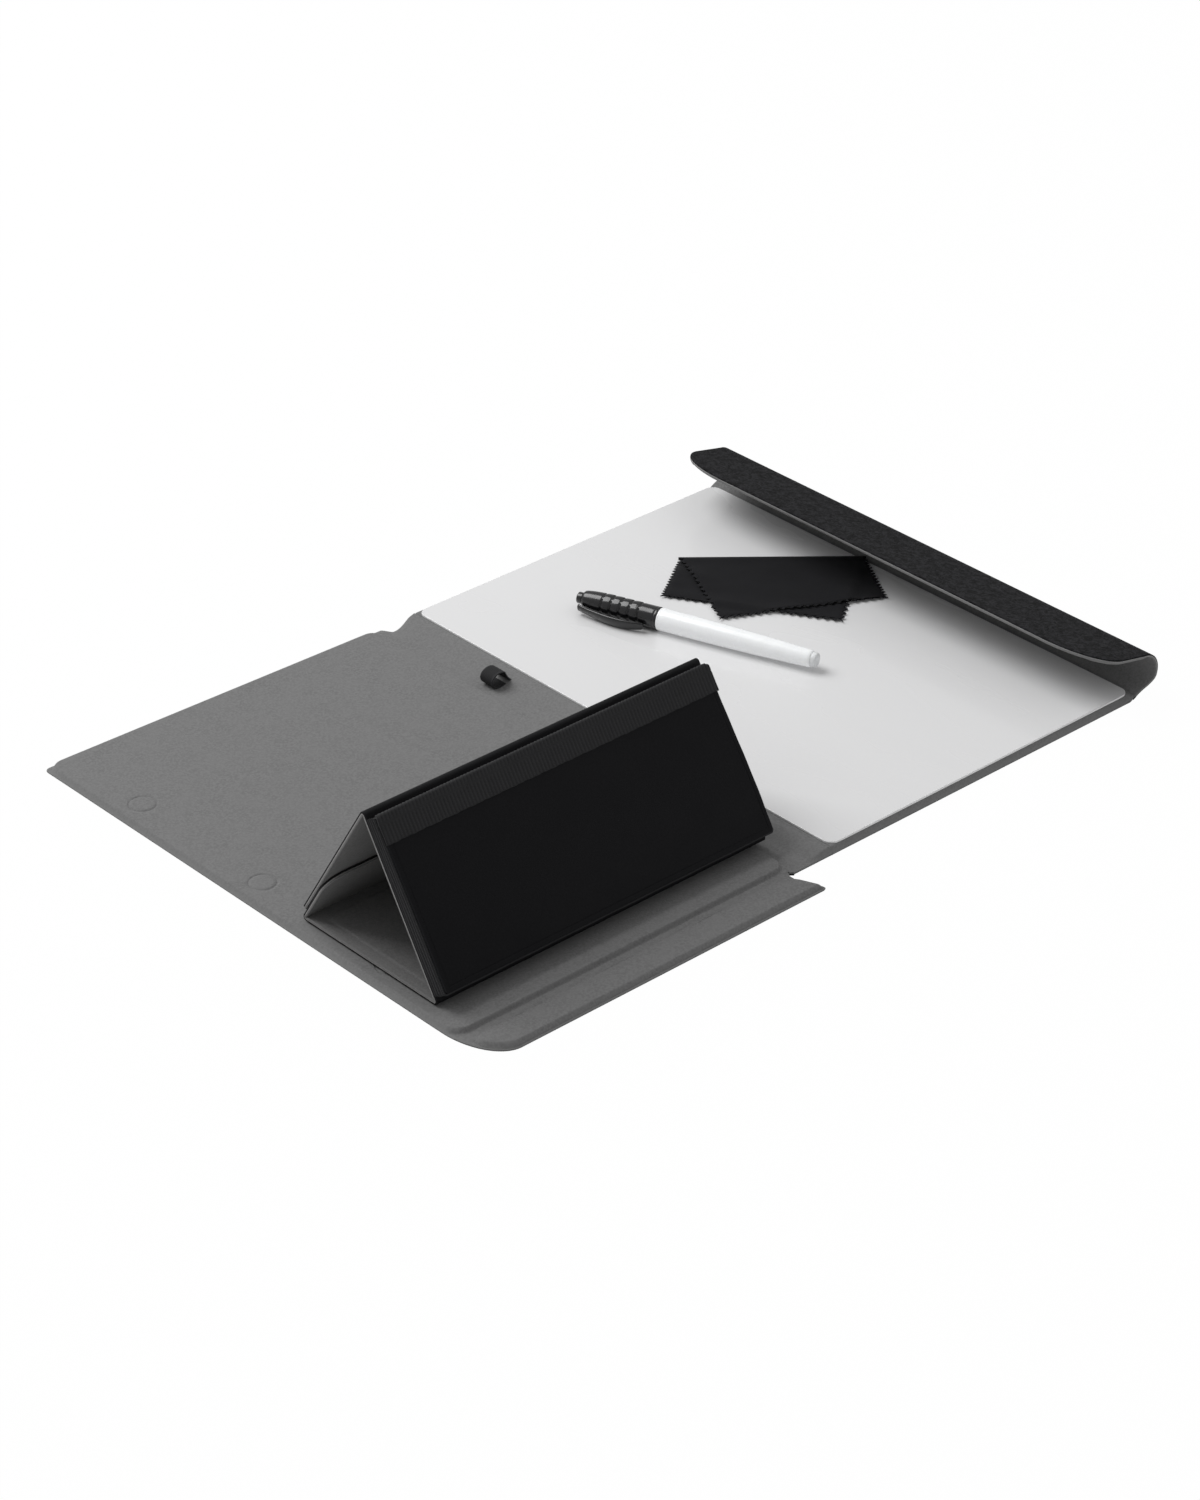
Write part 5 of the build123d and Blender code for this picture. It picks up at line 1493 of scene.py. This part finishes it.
class FOLIO_OT_pen_loop(bpy.types.Operator):
    """Make the elastic pen loop that is sewn flat to the spine"""

    bl_idname = "folio.pen_loop"
    bl_label = "Pen loop"

    def execute(self, context):
        low, high = box_mm("pen_loop")
        wall = 0.85
        low[1], high[1] = high[1] - 11.5, high[1] - 2.5
        radius = (high[2] - low[2] - 1.2) / 2
        centre = np.array([low[0] + radius + 1.0, low[2] + radius])
        tail = np.array([high[0], low[2] + 0.5])
        under = np.array([centre[0] + 1.5, low[2] + wall / 2])
        line = [tail + (under - tail) * share for share in np.linspace(0, 1, 8)]
        for angle in np.radians(np.linspace(-95, -310, 34)):
            away = np.array([math.cos(angle), math.sin(angle)])
            squeeze = np.array([1.25, 1.0 - 0.04 * math.sin(angle)])
            line.append(centre + (radius - wall / 2) * away * squeeze)
        last = line[-1]
        upper_tail = np.array([high[0], low[2] + wall + 0.75])
        bend = np.array([centre[0] + radius + 1.2, low[2] + wall + 1.1])
        for share in np.linspace(0, 1, 16)[1:]:
            first = last + (bend - last) * share
            second = bend + (upper_tail - bend) * share
            line.append(first + (second - first) * share)
        line = np.array(line)
        run = np.gradient(line, axis=0)
        run /= np.linalg.norm(run, axis=1, keepdims=True)
        outward = np.stack([run[:, 1], -run[:, 0]], axis=1)
        ys = np.linspace(low[1], high[1], 73)
        cord = 0.07 * (0.5 - 0.5 * np.cos(2 * math.pi * (ys - ys[0]) / 1.0))
        edge = np.minimum(ys - ys[0], ys[-1] - ys)
        rim = quarter_round(edge, 0.25)
        grids = []
        for side in (-1, 1):
            offset = side * (wall / 2 - cord - rim)
            x = line[:, 0:1] + outward[:, 0:1] * offset[None, :]
            z = line[:, 1:2] + outward[:, 1:2] * offset[None, :]
            y = np.broadcast_to(ys[None, :], x.shape)
            grids.append(np.stack([x, y, z], axis=-1))
        wear_and_highlight = np.broadcast_to((0.9 * np.exp(-((edge / 0.7) ** 2)))[None, :], grids[0].shape[:2])
        finishes = ("elastic", "elastic")
        piece = grid_shell("pen_loop_elastic", *grids, finishes, wear_and_highlight=wear_and_highlight, crisp=60)
        dress(piece, "spine", ["pen_loop"])
        return {"FINISHED"}


class Marker:
    """The marker's line on the sheet, in millimetres, from the solids of its parts."""

    def __init__(self):
        for joint in frame["joints"]:
            if joint["name"] == "cap_pull":
                self.axis = np.array(joint["axis"], float)
        self.side = np.cross(self.axis, (0.0, 0.0, 1.0))
        self.up = np.cross(self.side, self.axis)
        spans = {}
        for node in ("marker_end_plug", "marker_barrel", "marker_nib_holder", "marker_nib"):
            points = node_points(node)
            spans[node] = points @ self.axis
            if node == "marker_barrel":
                across = points @ self.side
                across = (across.min() + across.max()) / 2
                height = (points[:, 2].min() + points[:, 2].max()) / 2
        start = spans["marker_end_plug"].min()
        self.origin = self.axis * start + self.side * across + np.array([0, 0, height])
        self.plug = spans["marker_barrel"].min() - start
        self.mouth = spans["marker_barrel"].max() - start
        cap = node_points("marker_cap") @ self.axis
        self.cap_start = cap.min() - start
        self.cap_end = cap.max() - start
        self.nib_start = spans["marker_nib_holder"].max() - start
        self.nib_end = spans["marker_nib"].max() - start

    def turn(self, name, profile, finish, segments=96, shape=None):
        """Turn a profile around the marker's axis."""
        line = self.origin, self.axis
        return turned_piece(name, *line, profile, (finish,), segments, shape)


class FOLIO_OT_marker(bpy.types.Operator):
    """Make the marker's white barrel, milky plug, neck and nib"""

    bl_idname = "folio.marker"
    bl_label = "Marker"

    def execute(self, context):
        marker = Marker()
        radius = context.scene.marker_sizes.barrel_radius / MM
        end_radius = radius - 1.5
        start, mouth = marker.plug, marker.mouth
        profile = [(start - 0.25, 0), (start - 0.25, end_radius - 0.45)]
        profile += [(start - 0.12, end_radius - 0.2), (start + 0.25, end_radius + 0.02)]
        for share in np.linspace(0.02, 1, 36):
            along = start + (mouth - 1.4 - start) * share
            swell = 1 - (1 - min(1.0, share / 0.8)) ** 2
            profile.append((along, end_radius + 0.08 + (radius - end_radius - 0.08) * swell))
        profile += [(mouth - 1.3, radius - 0.02), (mouth - 1.15, radius - 0.16)]
        profile += [(mouth - 1.0, radius - 0.02), (mouth - 0.3, radius)]
        profile += [(mouth - 0.1, radius - 0.1), (mouth, radius - 0.35), (mouth, 0)]
        barrel = marker.turn("marker_barrel_white", profile, "barrel")
        dress(barrel, "marker", ["marker_barrel"])

        profile = [(0, 0), (0, 2.5), (0.06, 2.95), (0.25, 3.3), (0.6, 3.55), (1.1, 3.68)]
        profile += [(start - 0.5, 3.74), (start - 0.3, 3.7), (start + 0.1, 3.7), (start + 0.1, 0)]
        plug = marker.turn("marker_plug_milky", profile, "plug")
        dress(plug, "marker", ["marker_end_plug"])

        neck = 4.6
        profile = [(mouth - 0.2, 0), (mouth - 0.2, neck - 0.2), (mouth + 0.2, neck)]
        profile += [(mouth + 3.0, neck), (mouth + 3.3, neck - 0.25), (mouth + 4.0, neck - 0.25)]
        profile += [(mouth + 4.3, neck), (mouth + 8.6, neck), (mouth + 9.1, neck - 0.25)]
        profile += [(marker.nib_start - 0.4, 2.75), (marker.nib_start, 2.45), (marker.nib_start, 0)]
        holder = marker.turn("marker_neck_black", profile, "neck")
        dress(holder, "marker", ["marker_nib_holder"])

        nib_end = marker.nib_end
        profile = [(marker.nib_start - 0.5, 0), (marker.nib_start - 0.5, 1.6)]
        profile += [(nib_end - 1.9, 1.58), (nib_end - 1.1, 1.42), (nib_end - 0.5, 1.08)]
        profile += [(nib_end - 0.12, 0.6), (nib_end, 0.0)]
        nib = marker.turn("marker_nib_round", profile, "nib", 48)
        dress(nib, "marker", ["marker_nib"])
        return {"FINISHED"}


class FOLIO_OT_cap(bpy.types.Operator):
    """Make the glossy cap with its grip grooves, its button and its bowed clip"""

    bl_idname = "folio.cap"
    bl_label = "Marker cap"

    def execute(self, context):
        marker = Marker()
        sizes = context.scene.marker_sizes
        radius = sizes.cap_radius / MM
        grip = sizes.grip_depth / MM
        start, end = marker.cap_start, marker.cap_end
        shoulder = end - 3.6
        grooves = [start + 10.5 + 5.2 * number for number in range(5)]

        def body_radius(along):
            """Radius of the cap's body without its grooves."""
            run = along - start
            narrow = np.clip((run - 30) / (shoulder - start - 30), 0, 1)
            return radius - 0.28 * run / 32 - 1.15 * narrow**2.2

        profile = [(start, 0), (start, radius - 0.3), (start + 0.12, radius - 0.08)]
        profile += [(start + 0.35, radius), (start + 1.3, radius), (start + 1.5, radius - 0.12)]
        alongs = [np.arange(start + 1.8, shoulder - 0.9, 0.9)]
        alongs += [groove + np.arange(-1.2, 1.25, 0.15) for groove in grooves]
        alongs = np.unique(np.concatenate(alongs))
        profile += [(along, float(body_radius(along))) for along in alongs]
        last = float(body_radius(shoulder - 0.9))
        profile += [(shoulder - 0.55, last - 0.12), (shoulder - 0.2, last - 0.42)]
        profile += [(shoulder, last - 0.95), (shoulder + 0.1, 2.75), (shoulder + 0.5, 2.7)]
        profile += [(shoulder + 0.7, 3.0), (end - 0.7, 3.0), (end - 0.3, 2.85)]
        profile += [(end - 0.08, 2.5), (end, 2.0), (end, 0)]
        ridge = math.radians(118)

        def gripped(along, turn, given):
            """The radius with soft grooves that stop at a smooth ridge along the cap."""
            depth = np.zeros_like(given)
            for groove in grooves:
                depth += grip * np.exp(-((np.abs(along - groove) / 0.55) ** 3))
                scale = np.clip((along - groove) / 4.4, 0, 1) * (along - groove < 4.5)
                depth -= 0.16 * scale * (1 - scale) * 4 * (along < grooves[-1])
            away = np.abs((turn - ridge + math.pi) % (2 * math.pi) - math.pi)
            smooth_strip = np.exp(-((away / 0.16) ** 4))
            return given - depth * (1 - 0.85 * smooth_strip)

        body = marker.turn("marker_cap_body", profile, "cap", 128, gripped)
        dress(body, "marker_cap", ["marker_cap"])

        turn = sizes.clip_turn
        away = -marker.side * math.cos(turn) + marker.up * math.sin(turn)
        across = np.cross(marker.axis, away)
        tip, root, clip_end = start + 5.5, shoulder - 3.5, shoulder + 0.2
        rise = sizes.clip_rise / MM
        alongs = tip + 2.0 * (1 - np.cos(np.linspace(0.12, math.pi / 2, 10)))
        alongs = np.append(alongs, np.linspace(tip + 2.0, root, 26)[1:])
        alongs = np.append(alongs, np.linspace(root, clip_end, 10)[1:])
        angles = np.linspace(0, 2 * math.pi, 32, endpoint=False)
        rings = []
        for along in alongs:
            share = min(max((along - tip) / (root - tip), 0.0), 1.0)
            nose = math.sqrt(max(0.02, 1 - max(0.0, 1 - (along - tip) / 2.0) ** 2))
            sink = ease((along - root) / (clip_end - root))
            centre = radius + 1.35 + rise * math.sin(math.pi * share**0.85) - 1.0 * sink
            half_width = (2.2 + 0.85 * math.sin(math.pi * min(1.0, share * 1.1)) ** 0.7) * nose
            half_thick = (0.65 + 0.4 * math.sin(math.pi * share) + 0.3 * sink) * (0.4 + 0.6 * nose)
            wide = np.sign(np.cos(angles)) * np.abs(np.cos(angles)) ** 0.7 * half_width
            thick = np.sign(np.sin(angles)) * np.abs(np.sin(angles)) ** 0.8 * half_thick
            crown = 0.3 * (1 - (wide / half_width) ** 2) * (thick > 0)
            offset = centre + thick + crown
            place = marker.origin + marker.axis * along
            rings.append(place + wide[:, None] * across + offset[:, None] * away)
        clip = lofted_piece("marker_cap_clip", np.array(rings), ("cap",))
        dress(clip, "marker_cap")
        return {"FINISHED"}


def inside_distance(x, y, corners):
    """How far each place is inside a convex outline, in millimetres."""
    corners = np.asarray(corners, float)
    middle = corners.mean(axis=0)
    distance = np.full(np.shape(x), np.inf)
    for first, second in zip(corners, np.roll(corners, -1, axis=0)):
        run = (second - first) / np.linalg.norm(second - first)
        normal = np.array([-run[1], run[0]])
        if normal @ (middle - first) < 0:
            normal = -normal
        distance = np.minimum(distance, (x - first[0]) * normal[0] + (y - first[1]) * normal[1])
    return distance


class FOLIO_OT_cloth(bpy.types.Operator):
    """Make the wiping cloth, folded once, with pinked edges that wave a little"""

    bl_idname = "folio.cloth"
    bl_label = "Wiping cloth"

    def execute(self, context):
        sizes = context.scene.cloth_sizes
        thick, tooth, wave = sizes.thickness / MM, sizes.tooth / MM, sizes.wave / MM
        depth = sizes.tooth_depth / MM
        sheet_high = box_mm("whiteboard_sheet")[1]
        base = sheet_high[2] + 0.12
        side = sheet_high[0]
        fold = np.array([(side - 71.6, 101.0), (side + 1.4, 36.8)])
        upper_far = np.array([(side - 100.3, 40.2), (side - 21.0, -0.8)])
        lower_far = np.array([(side - 105.8, 78.0), (side - 55.7, -3.3)])
        fold_length = np.linalg.norm(fold[1] - fold[0])
        far_length = np.linalg.norm(upper_far[0] - fold[0])
        columns = 2 * round(fold_length / tooth) + 1
        rows = 2 * round(far_length / tooth) + 1
        share = np.linspace(0, 1, columns)
        reach = np.linspace(0, 1, rows)
        run = (fold[1] - fold[0]) / fold_length
        outward = np.array([-run[1], run[0]])
        if outward @ (upper_far.mean(axis=0) - fold.mean(axis=0)) > 0:
            outward = -outward

        def layer(far):
            """The places of one layer, with teeth cut into its three free edges."""
            near = fold[0] + (fold[1] - fold[0]) * share[None, :, None]
            away = far[0] + (far[1] - far[0]) * share[None, :, None]
            places = near + (away - near) * reach[:, None, None]
            valley = np.arange(columns) % 2
            inward = fold.mean(axis=0) - far.mean(axis=0)
            inward /= np.linalg.norm(inward)
            places[-1, 1:-1] += valley[1:-1, None] * inward * depth
            valley = np.arange(rows) % 2
            for column, sign in ((0, 1), (-1, -1)):
                edge = places[-1, column] - places[0, column]
                edge /= np.linalg.norm(edge)
                normal = np.array([-edge[1], edge[0]])
                if normal @ (run * sign) < 0:
                    normal = -normal
                places[1:-1, column] += valley[1:-1, None] * normal * depth
            return places

        upper = layer(upper_far)
        lower = layer(lower_far)
        lower_corners = [fold[0], fold[1], lower_far[1], lower_far[0]]
        upper_corners = [fold[0], fold[1], upper_far[1], upper_far[0]]

        def swell(x, y, corners, phase):
            """Soft waves that rise towards the free edges and lie down in the middle."""
            inside = inside_distance(x, y, corners)
            free = np.exp(-np.maximum(inside, 0) / 13.0)
            ripples = np.sin(x * 0.16 + y * 0.1 + phase) + 0.6 * np.sin(y * 0.21 - x * 0.07 + phase)
            fine = 0.12 * np.sin(x * 0.41 + y * 0.33 + phase * 2)
            near_fold = (x - fold[0][0]) * outward[0] + (y - fold[0][1]) * outward[1]
            held = ease(-near_fold / 18.0)
            return wave * (0.5 + 0.31 * ripples + fine) * free * held

        def lower_height(x, y):
            """Height of the lower layer's underside."""
            return base + np.maximum(swell(x, y, lower_corners, 0.4), 0) * 0.8

        lower_z = lower_height(lower[..., 0], lower[..., 1])
        over = inside_distance(upper[..., 0], upper[..., 1], lower_corners)
        carried = ease((over + 3.5) / 5.0)
        carried_height = thick + 0.2 + lower_height(upper[..., 0], upper[..., 1]) - base
        upper_z = base + carried * carried_height
        upper_z = upper_z + np.maximum(swell(upper[..., 0], upper[..., 1], upper_corners, 1.9), 0)
        near_fold = np.linspace(0, 1, rows) * far_length
        upper_z = upper_z + 0.5 * np.exp(-((near_fold[:, None] / 5.0) ** 2))
        bends = []
        for angle in np.radians([-60, -20, 20, 60]):
            middle = (lower_z[0] + upper_z[0]) / 2
            lift = (upper_z[0] - lower_z[0]) / 2
            place = upper[0] + outward * 0.75 * math.cos(angle)
            bends.append(np.column_stack([place, middle + lift * math.sin(angle)]))
        lower_points = np.dstack([lower, lower_z])[::-1]
        upper_points = np.dstack([upper, upper_z])
        middle = np.concatenate([lower_points[:-1], np.array(bends), upper_points[1:]])
        along_rows = np.gradient(middle, axis=0)
        along_columns = np.gradient(middle, axis=1)
        normal = np.cross(along_rows, along_columns)
        normal /= np.linalg.norm(normal, axis=-1, keepdims=True)
        if normal[-5, columns // 2, 2] < 0:
            normal = -normal
        outer = middle + normal * thick / 2
        inner = middle - normal * thick / 2
        outer[..., 2] += thick / 2
        inner[..., 2] += thick / 2
        edge_wear = np.zeros(middle.shape[:2])
        edge_wear[[0, -1]] = 1.0
        edge_wear[:, [0, -1]] = 1.0
        grids = outer, inner, ("cloth", "cloth")
        piece = grid_shell("wiping_cloth_folded", *grids, wear_and_highlight=edge_wear, crisp=70)
        dress(piece, "cloth", ["wiping_cloth"])
        return {"FINISHED"}


class StageSettings(bpy.types.PropertyGroup):
    """The camera, the lamps and the floor."""

    camera_place: bpy.props.FloatVectorProperty(
        name="Camera place",
        description="Where the camera stands",
        default=(-1.1212, -1.2417, 1.0089),
        unit="LENGTH",
        subtype="TRANSLATION",
    )
    camera_view: bpy.props.FloatVectorProperty(
        name="Camera view",
        description="The direction in which the camera looks",
        default=(0.5748, 0.6339, -0.5175),
        subtype="DIRECTION",
    )
    camera_lens: bpy.props.FloatProperty(
        name="Camera lens",
        description="Focal length of the camera in millimetres",
        default=97.62,
        unit="CAMERA",
    )
    key_power: bpy.props.FloatProperty(
        name="Main lamp",
        description="Power of the large soft lamp over the object",
        default=38.5,
        unit="POWER",
    )
    fill_power: bpy.props.FloatProperty(
        name="Fill lamp",
        description="Power of the weaker lamp on the other side",
        default=3.0,
        unit="POWER",
    )
    surround: bpy.props.FloatProperty(
        name="Surround",
        description="Brightness of the pale room around the object",
        default=0.435,
        min=0,
        max=1,
    )


def aim(thing, place, towards):
    """Put a lamp or the camera in its place and turn it in a direction."""
    thing.location = place
    thing.rotation_euler = Vector(towards).to_track_quat("-Z", "Y").to_euler()
    bpy.context.scene.collection.objects.link(thing)


def soft_lamp(name, power, size, place):
    """A large square lamp that looks at the middle of the folio."""
    light = bpy.data.lights.new(name, "AREA")
    light.energy = power
    light.shape = "SQUARE"
    light.size = size
    lamp = bpy.data.objects.new(name, light)
    aim(lamp, place, Vector((0, 0, 0)) - Vector(place))


def seen_directly(nodes, links):
    """A value of 1 for rays from the camera, from gloss and through glass."""
    path = nodes.new("ShaderNodeLightPath")
    seen = path.outputs["Is Camera Ray"]
    for ray in ("Is Glossy Ray", "Is Transmission Ray"):
        either = nodes.new("ShaderNodeMath")
        either.operation = "MAXIMUM"
        links.new(seen, either.inputs[0])
        links.new(path.outputs[ray], either.inputs[1])
        seen = either.outputs["Value"]
    return seen


class FOLIO_OT_stage(bpy.types.Operator):
    """Set the camera, the soft lamps, the pale floor and the white surround"""

    bl_idname = "folio.stage"
    bl_label = "Camera, lamps and floor"

    def execute(self, context):
        scene = context.scene
        settings = scene.stage_settings
        scene.view_settings.view_transform = "Standard"
        lens = bpy.data.cameras.new("Folio_Camera")
        lens.lens = settings.camera_lens
        lens.sensor_width = 36.0
        lens.sensor_fit = "AUTO"
        camera = bpy.data.objects.new("Folio_Camera", lens)
        aim(camera, settings.camera_place, settings.camera_view)
        scene.camera = camera
        soft_lamp("Main_Lamp", settings.key_power, 1.5, (-0.45, 1.35, 1.75))
        soft_lamp("Fill_Lamp", settings.fill_power, 2.0, (1.4, -0.6, 1.8))
        self.surround(scene, settings.surround)
        self.floor(scene)
        return {"FINISHED"}

    def surround(self, scene, brightness):
        """A pale room that looks white from the camera."""
        world = bpy.data.worlds.new("Pale_Room")
        world.use_nodes = True
        nodes, links = world.node_tree.nodes, world.node_tree.links
        room = nodes["Background"]
        room.inputs["Color"].default_value = WHITE
        room.inputs["Strength"].default_value = brightness
        white = nodes.new("ShaderNodeBackground")
        white.inputs["Color"].default_value = WHITE
        white.inputs["Strength"].default_value = 1.0
        chosen = nodes.new("ShaderNodeMixShader")
        path = nodes.new("ShaderNodeLightPath")
        links.new(path.outputs["Is Camera Ray"], chosen.inputs["Fac"])
        links.new(room.outputs["Background"], chosen.inputs[1])
        links.new(white.outputs["Background"], chosen.inputs[2])
        links.new(chosen.outputs["Shader"], nodes["World Output"].inputs["Surface"])
        scene.world = world

    def floor(self, scene):
        """A pale floor that keeps the object's shadow."""
        material = bpy.data.materials.new("Pale_Floor")
        material.use_nodes = True
        nodes, links = material.node_tree.nodes, material.node_tree.links
        matt = nodes["Principled BSDF"]
        matt.inputs["Base Color"].default_value = (*scene.folio_colours.floor, 1.0)
        matt.inputs["Roughness"].default_value = 0.9
        matt.inputs["Specular IOR Level"].default_value = 0.1
        white = nodes.new("ShaderNodeEmission")
        white.inputs["Color"].default_value = WHITE
        white.inputs["Strength"].default_value = 1.0
        share = nodes.new("ShaderNodeMath")
        share.operation = "MULTIPLY"
        share.inputs[1].default_value = 0.985
        links.new(seen_directly(nodes, links), share.inputs[0])
        mixed = nodes.new("ShaderNodeMixShader")
        links.new(share.outputs["Value"], mixed.inputs["Fac"])
        links.new(matt.outputs["BSDF"], mixed.inputs[1])
        links.new(white.outputs["Emission"], mixed.inputs[2])
        links.new(mixed.outputs["Shader"], nodes["Material Output"].inputs["Surface"])
        mesh = bpy.data.meshes.new("Floor")
        reach = 9.0
        corners = [(-reach, -reach, 0), (reach, -reach, 0), (reach, reach, 0), (-reach, reach, 0)]
        mesh.from_pydata(corners, [], [(0, 1, 2, 3)])
        mesh.materials.append(material)
        floor = bpy.data.objects.new("Floor", mesh)
        floor.location.z = CAD_BOX[0][2]
        scene.collection.objects.link(floor)
        floor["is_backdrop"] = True


OPERATORS = (
    FOLIO_OT_finishes,
    FOLIO_OT_stand_panel,
    FOLIO_OT_spine,
    FOLIO_OT_lip,
    FOLIO_OT_board_panel,
    FOLIO_OT_curl,
    FOLIO_OT_flap,
    FOLIO_OT_stand,
    FOLIO_OT_pocket,
    FOLIO_OT_pen_loop,
    FOLIO_OT_marker,
    FOLIO_OT_cap,
    FOLIO_OT_cloth,
    FOLIO_OT_stage,
)

SETTINGS = {
    "folio_sizes": FolioSizes,
    "stand_sizes": StandSizes,
    "marker_sizes": MarkerSizes,
    "cloth_sizes": ClothSizes,
    "folio_colours": FolioColours,
    "stage_settings": StageSettings,
}


class FOLIO_PT_pieces(bpy.types.Panel):
    """The folio's sizes and colours, and a button for each of its pieces"""

    bl_idname = "FOLIO_PT_pieces"
    bl_label = "Whiteboard folio"
    bl_space_type = "VIEW_3D"
    bl_region_type = "UI"
    bl_category = "Folio"

    def draw(self, context):
        for name in SETTINGS:
            group = getattr(context.scene, name)
            box = self.layout.box()
            for setting in group.__annotations__:
                box.prop(group, setting)
        for operator in OPERATORS:
            self.layout.operator(operator.bl_idname)


CLASSES = (*SETTINGS.values(), *OPERATORS, FOLIO_PT_pieces)


def register():
    """Add the classes and the scene's settings."""
    for part in CLASSES:
        bpy.utils.register_class(part)
    for name, group in SETTINGS.items():
        setattr(bpy.types.Scene, name, bpy.props.PointerProperty(type=group))


def unregister():
    """Take the scene's settings and the classes away again."""
    for name in SETTINGS:
        delattr(bpy.types.Scene, name)
    for part in reversed(CLASSES):
        bpy.utils.unregister_class(part)


def write_sizes():
    """Turn the solids' box and the dressed model's box into lists of numbers, which are not kept."""
    for name, box in (("cad", CAD_BOX), ("visual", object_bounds())):
        [[float(part) for part in corner] for corner in box]


def main():
    """Register the classes and make every piece in order."""
    register()
    bpy.ops.folio.finishes()
    bpy.ops.folio.stage()
    bpy.ops.folio.stand_panel()
    bpy.ops.folio.spine()
    bpy.ops.folio.lip()
    bpy.ops.folio.board_panel()
    bpy.ops.folio.curl()
    bpy.ops.folio.flap()
    bpy.ops.folio.stand()
    bpy.ops.folio.pocket()
    bpy.ops.folio.pen_loop()
    bpy.ops.folio.marker()
    bpy.ops.folio.cap()
    bpy.ops.folio.cloth()
    write_sizes()


if __name__ == "__main__":
    main()
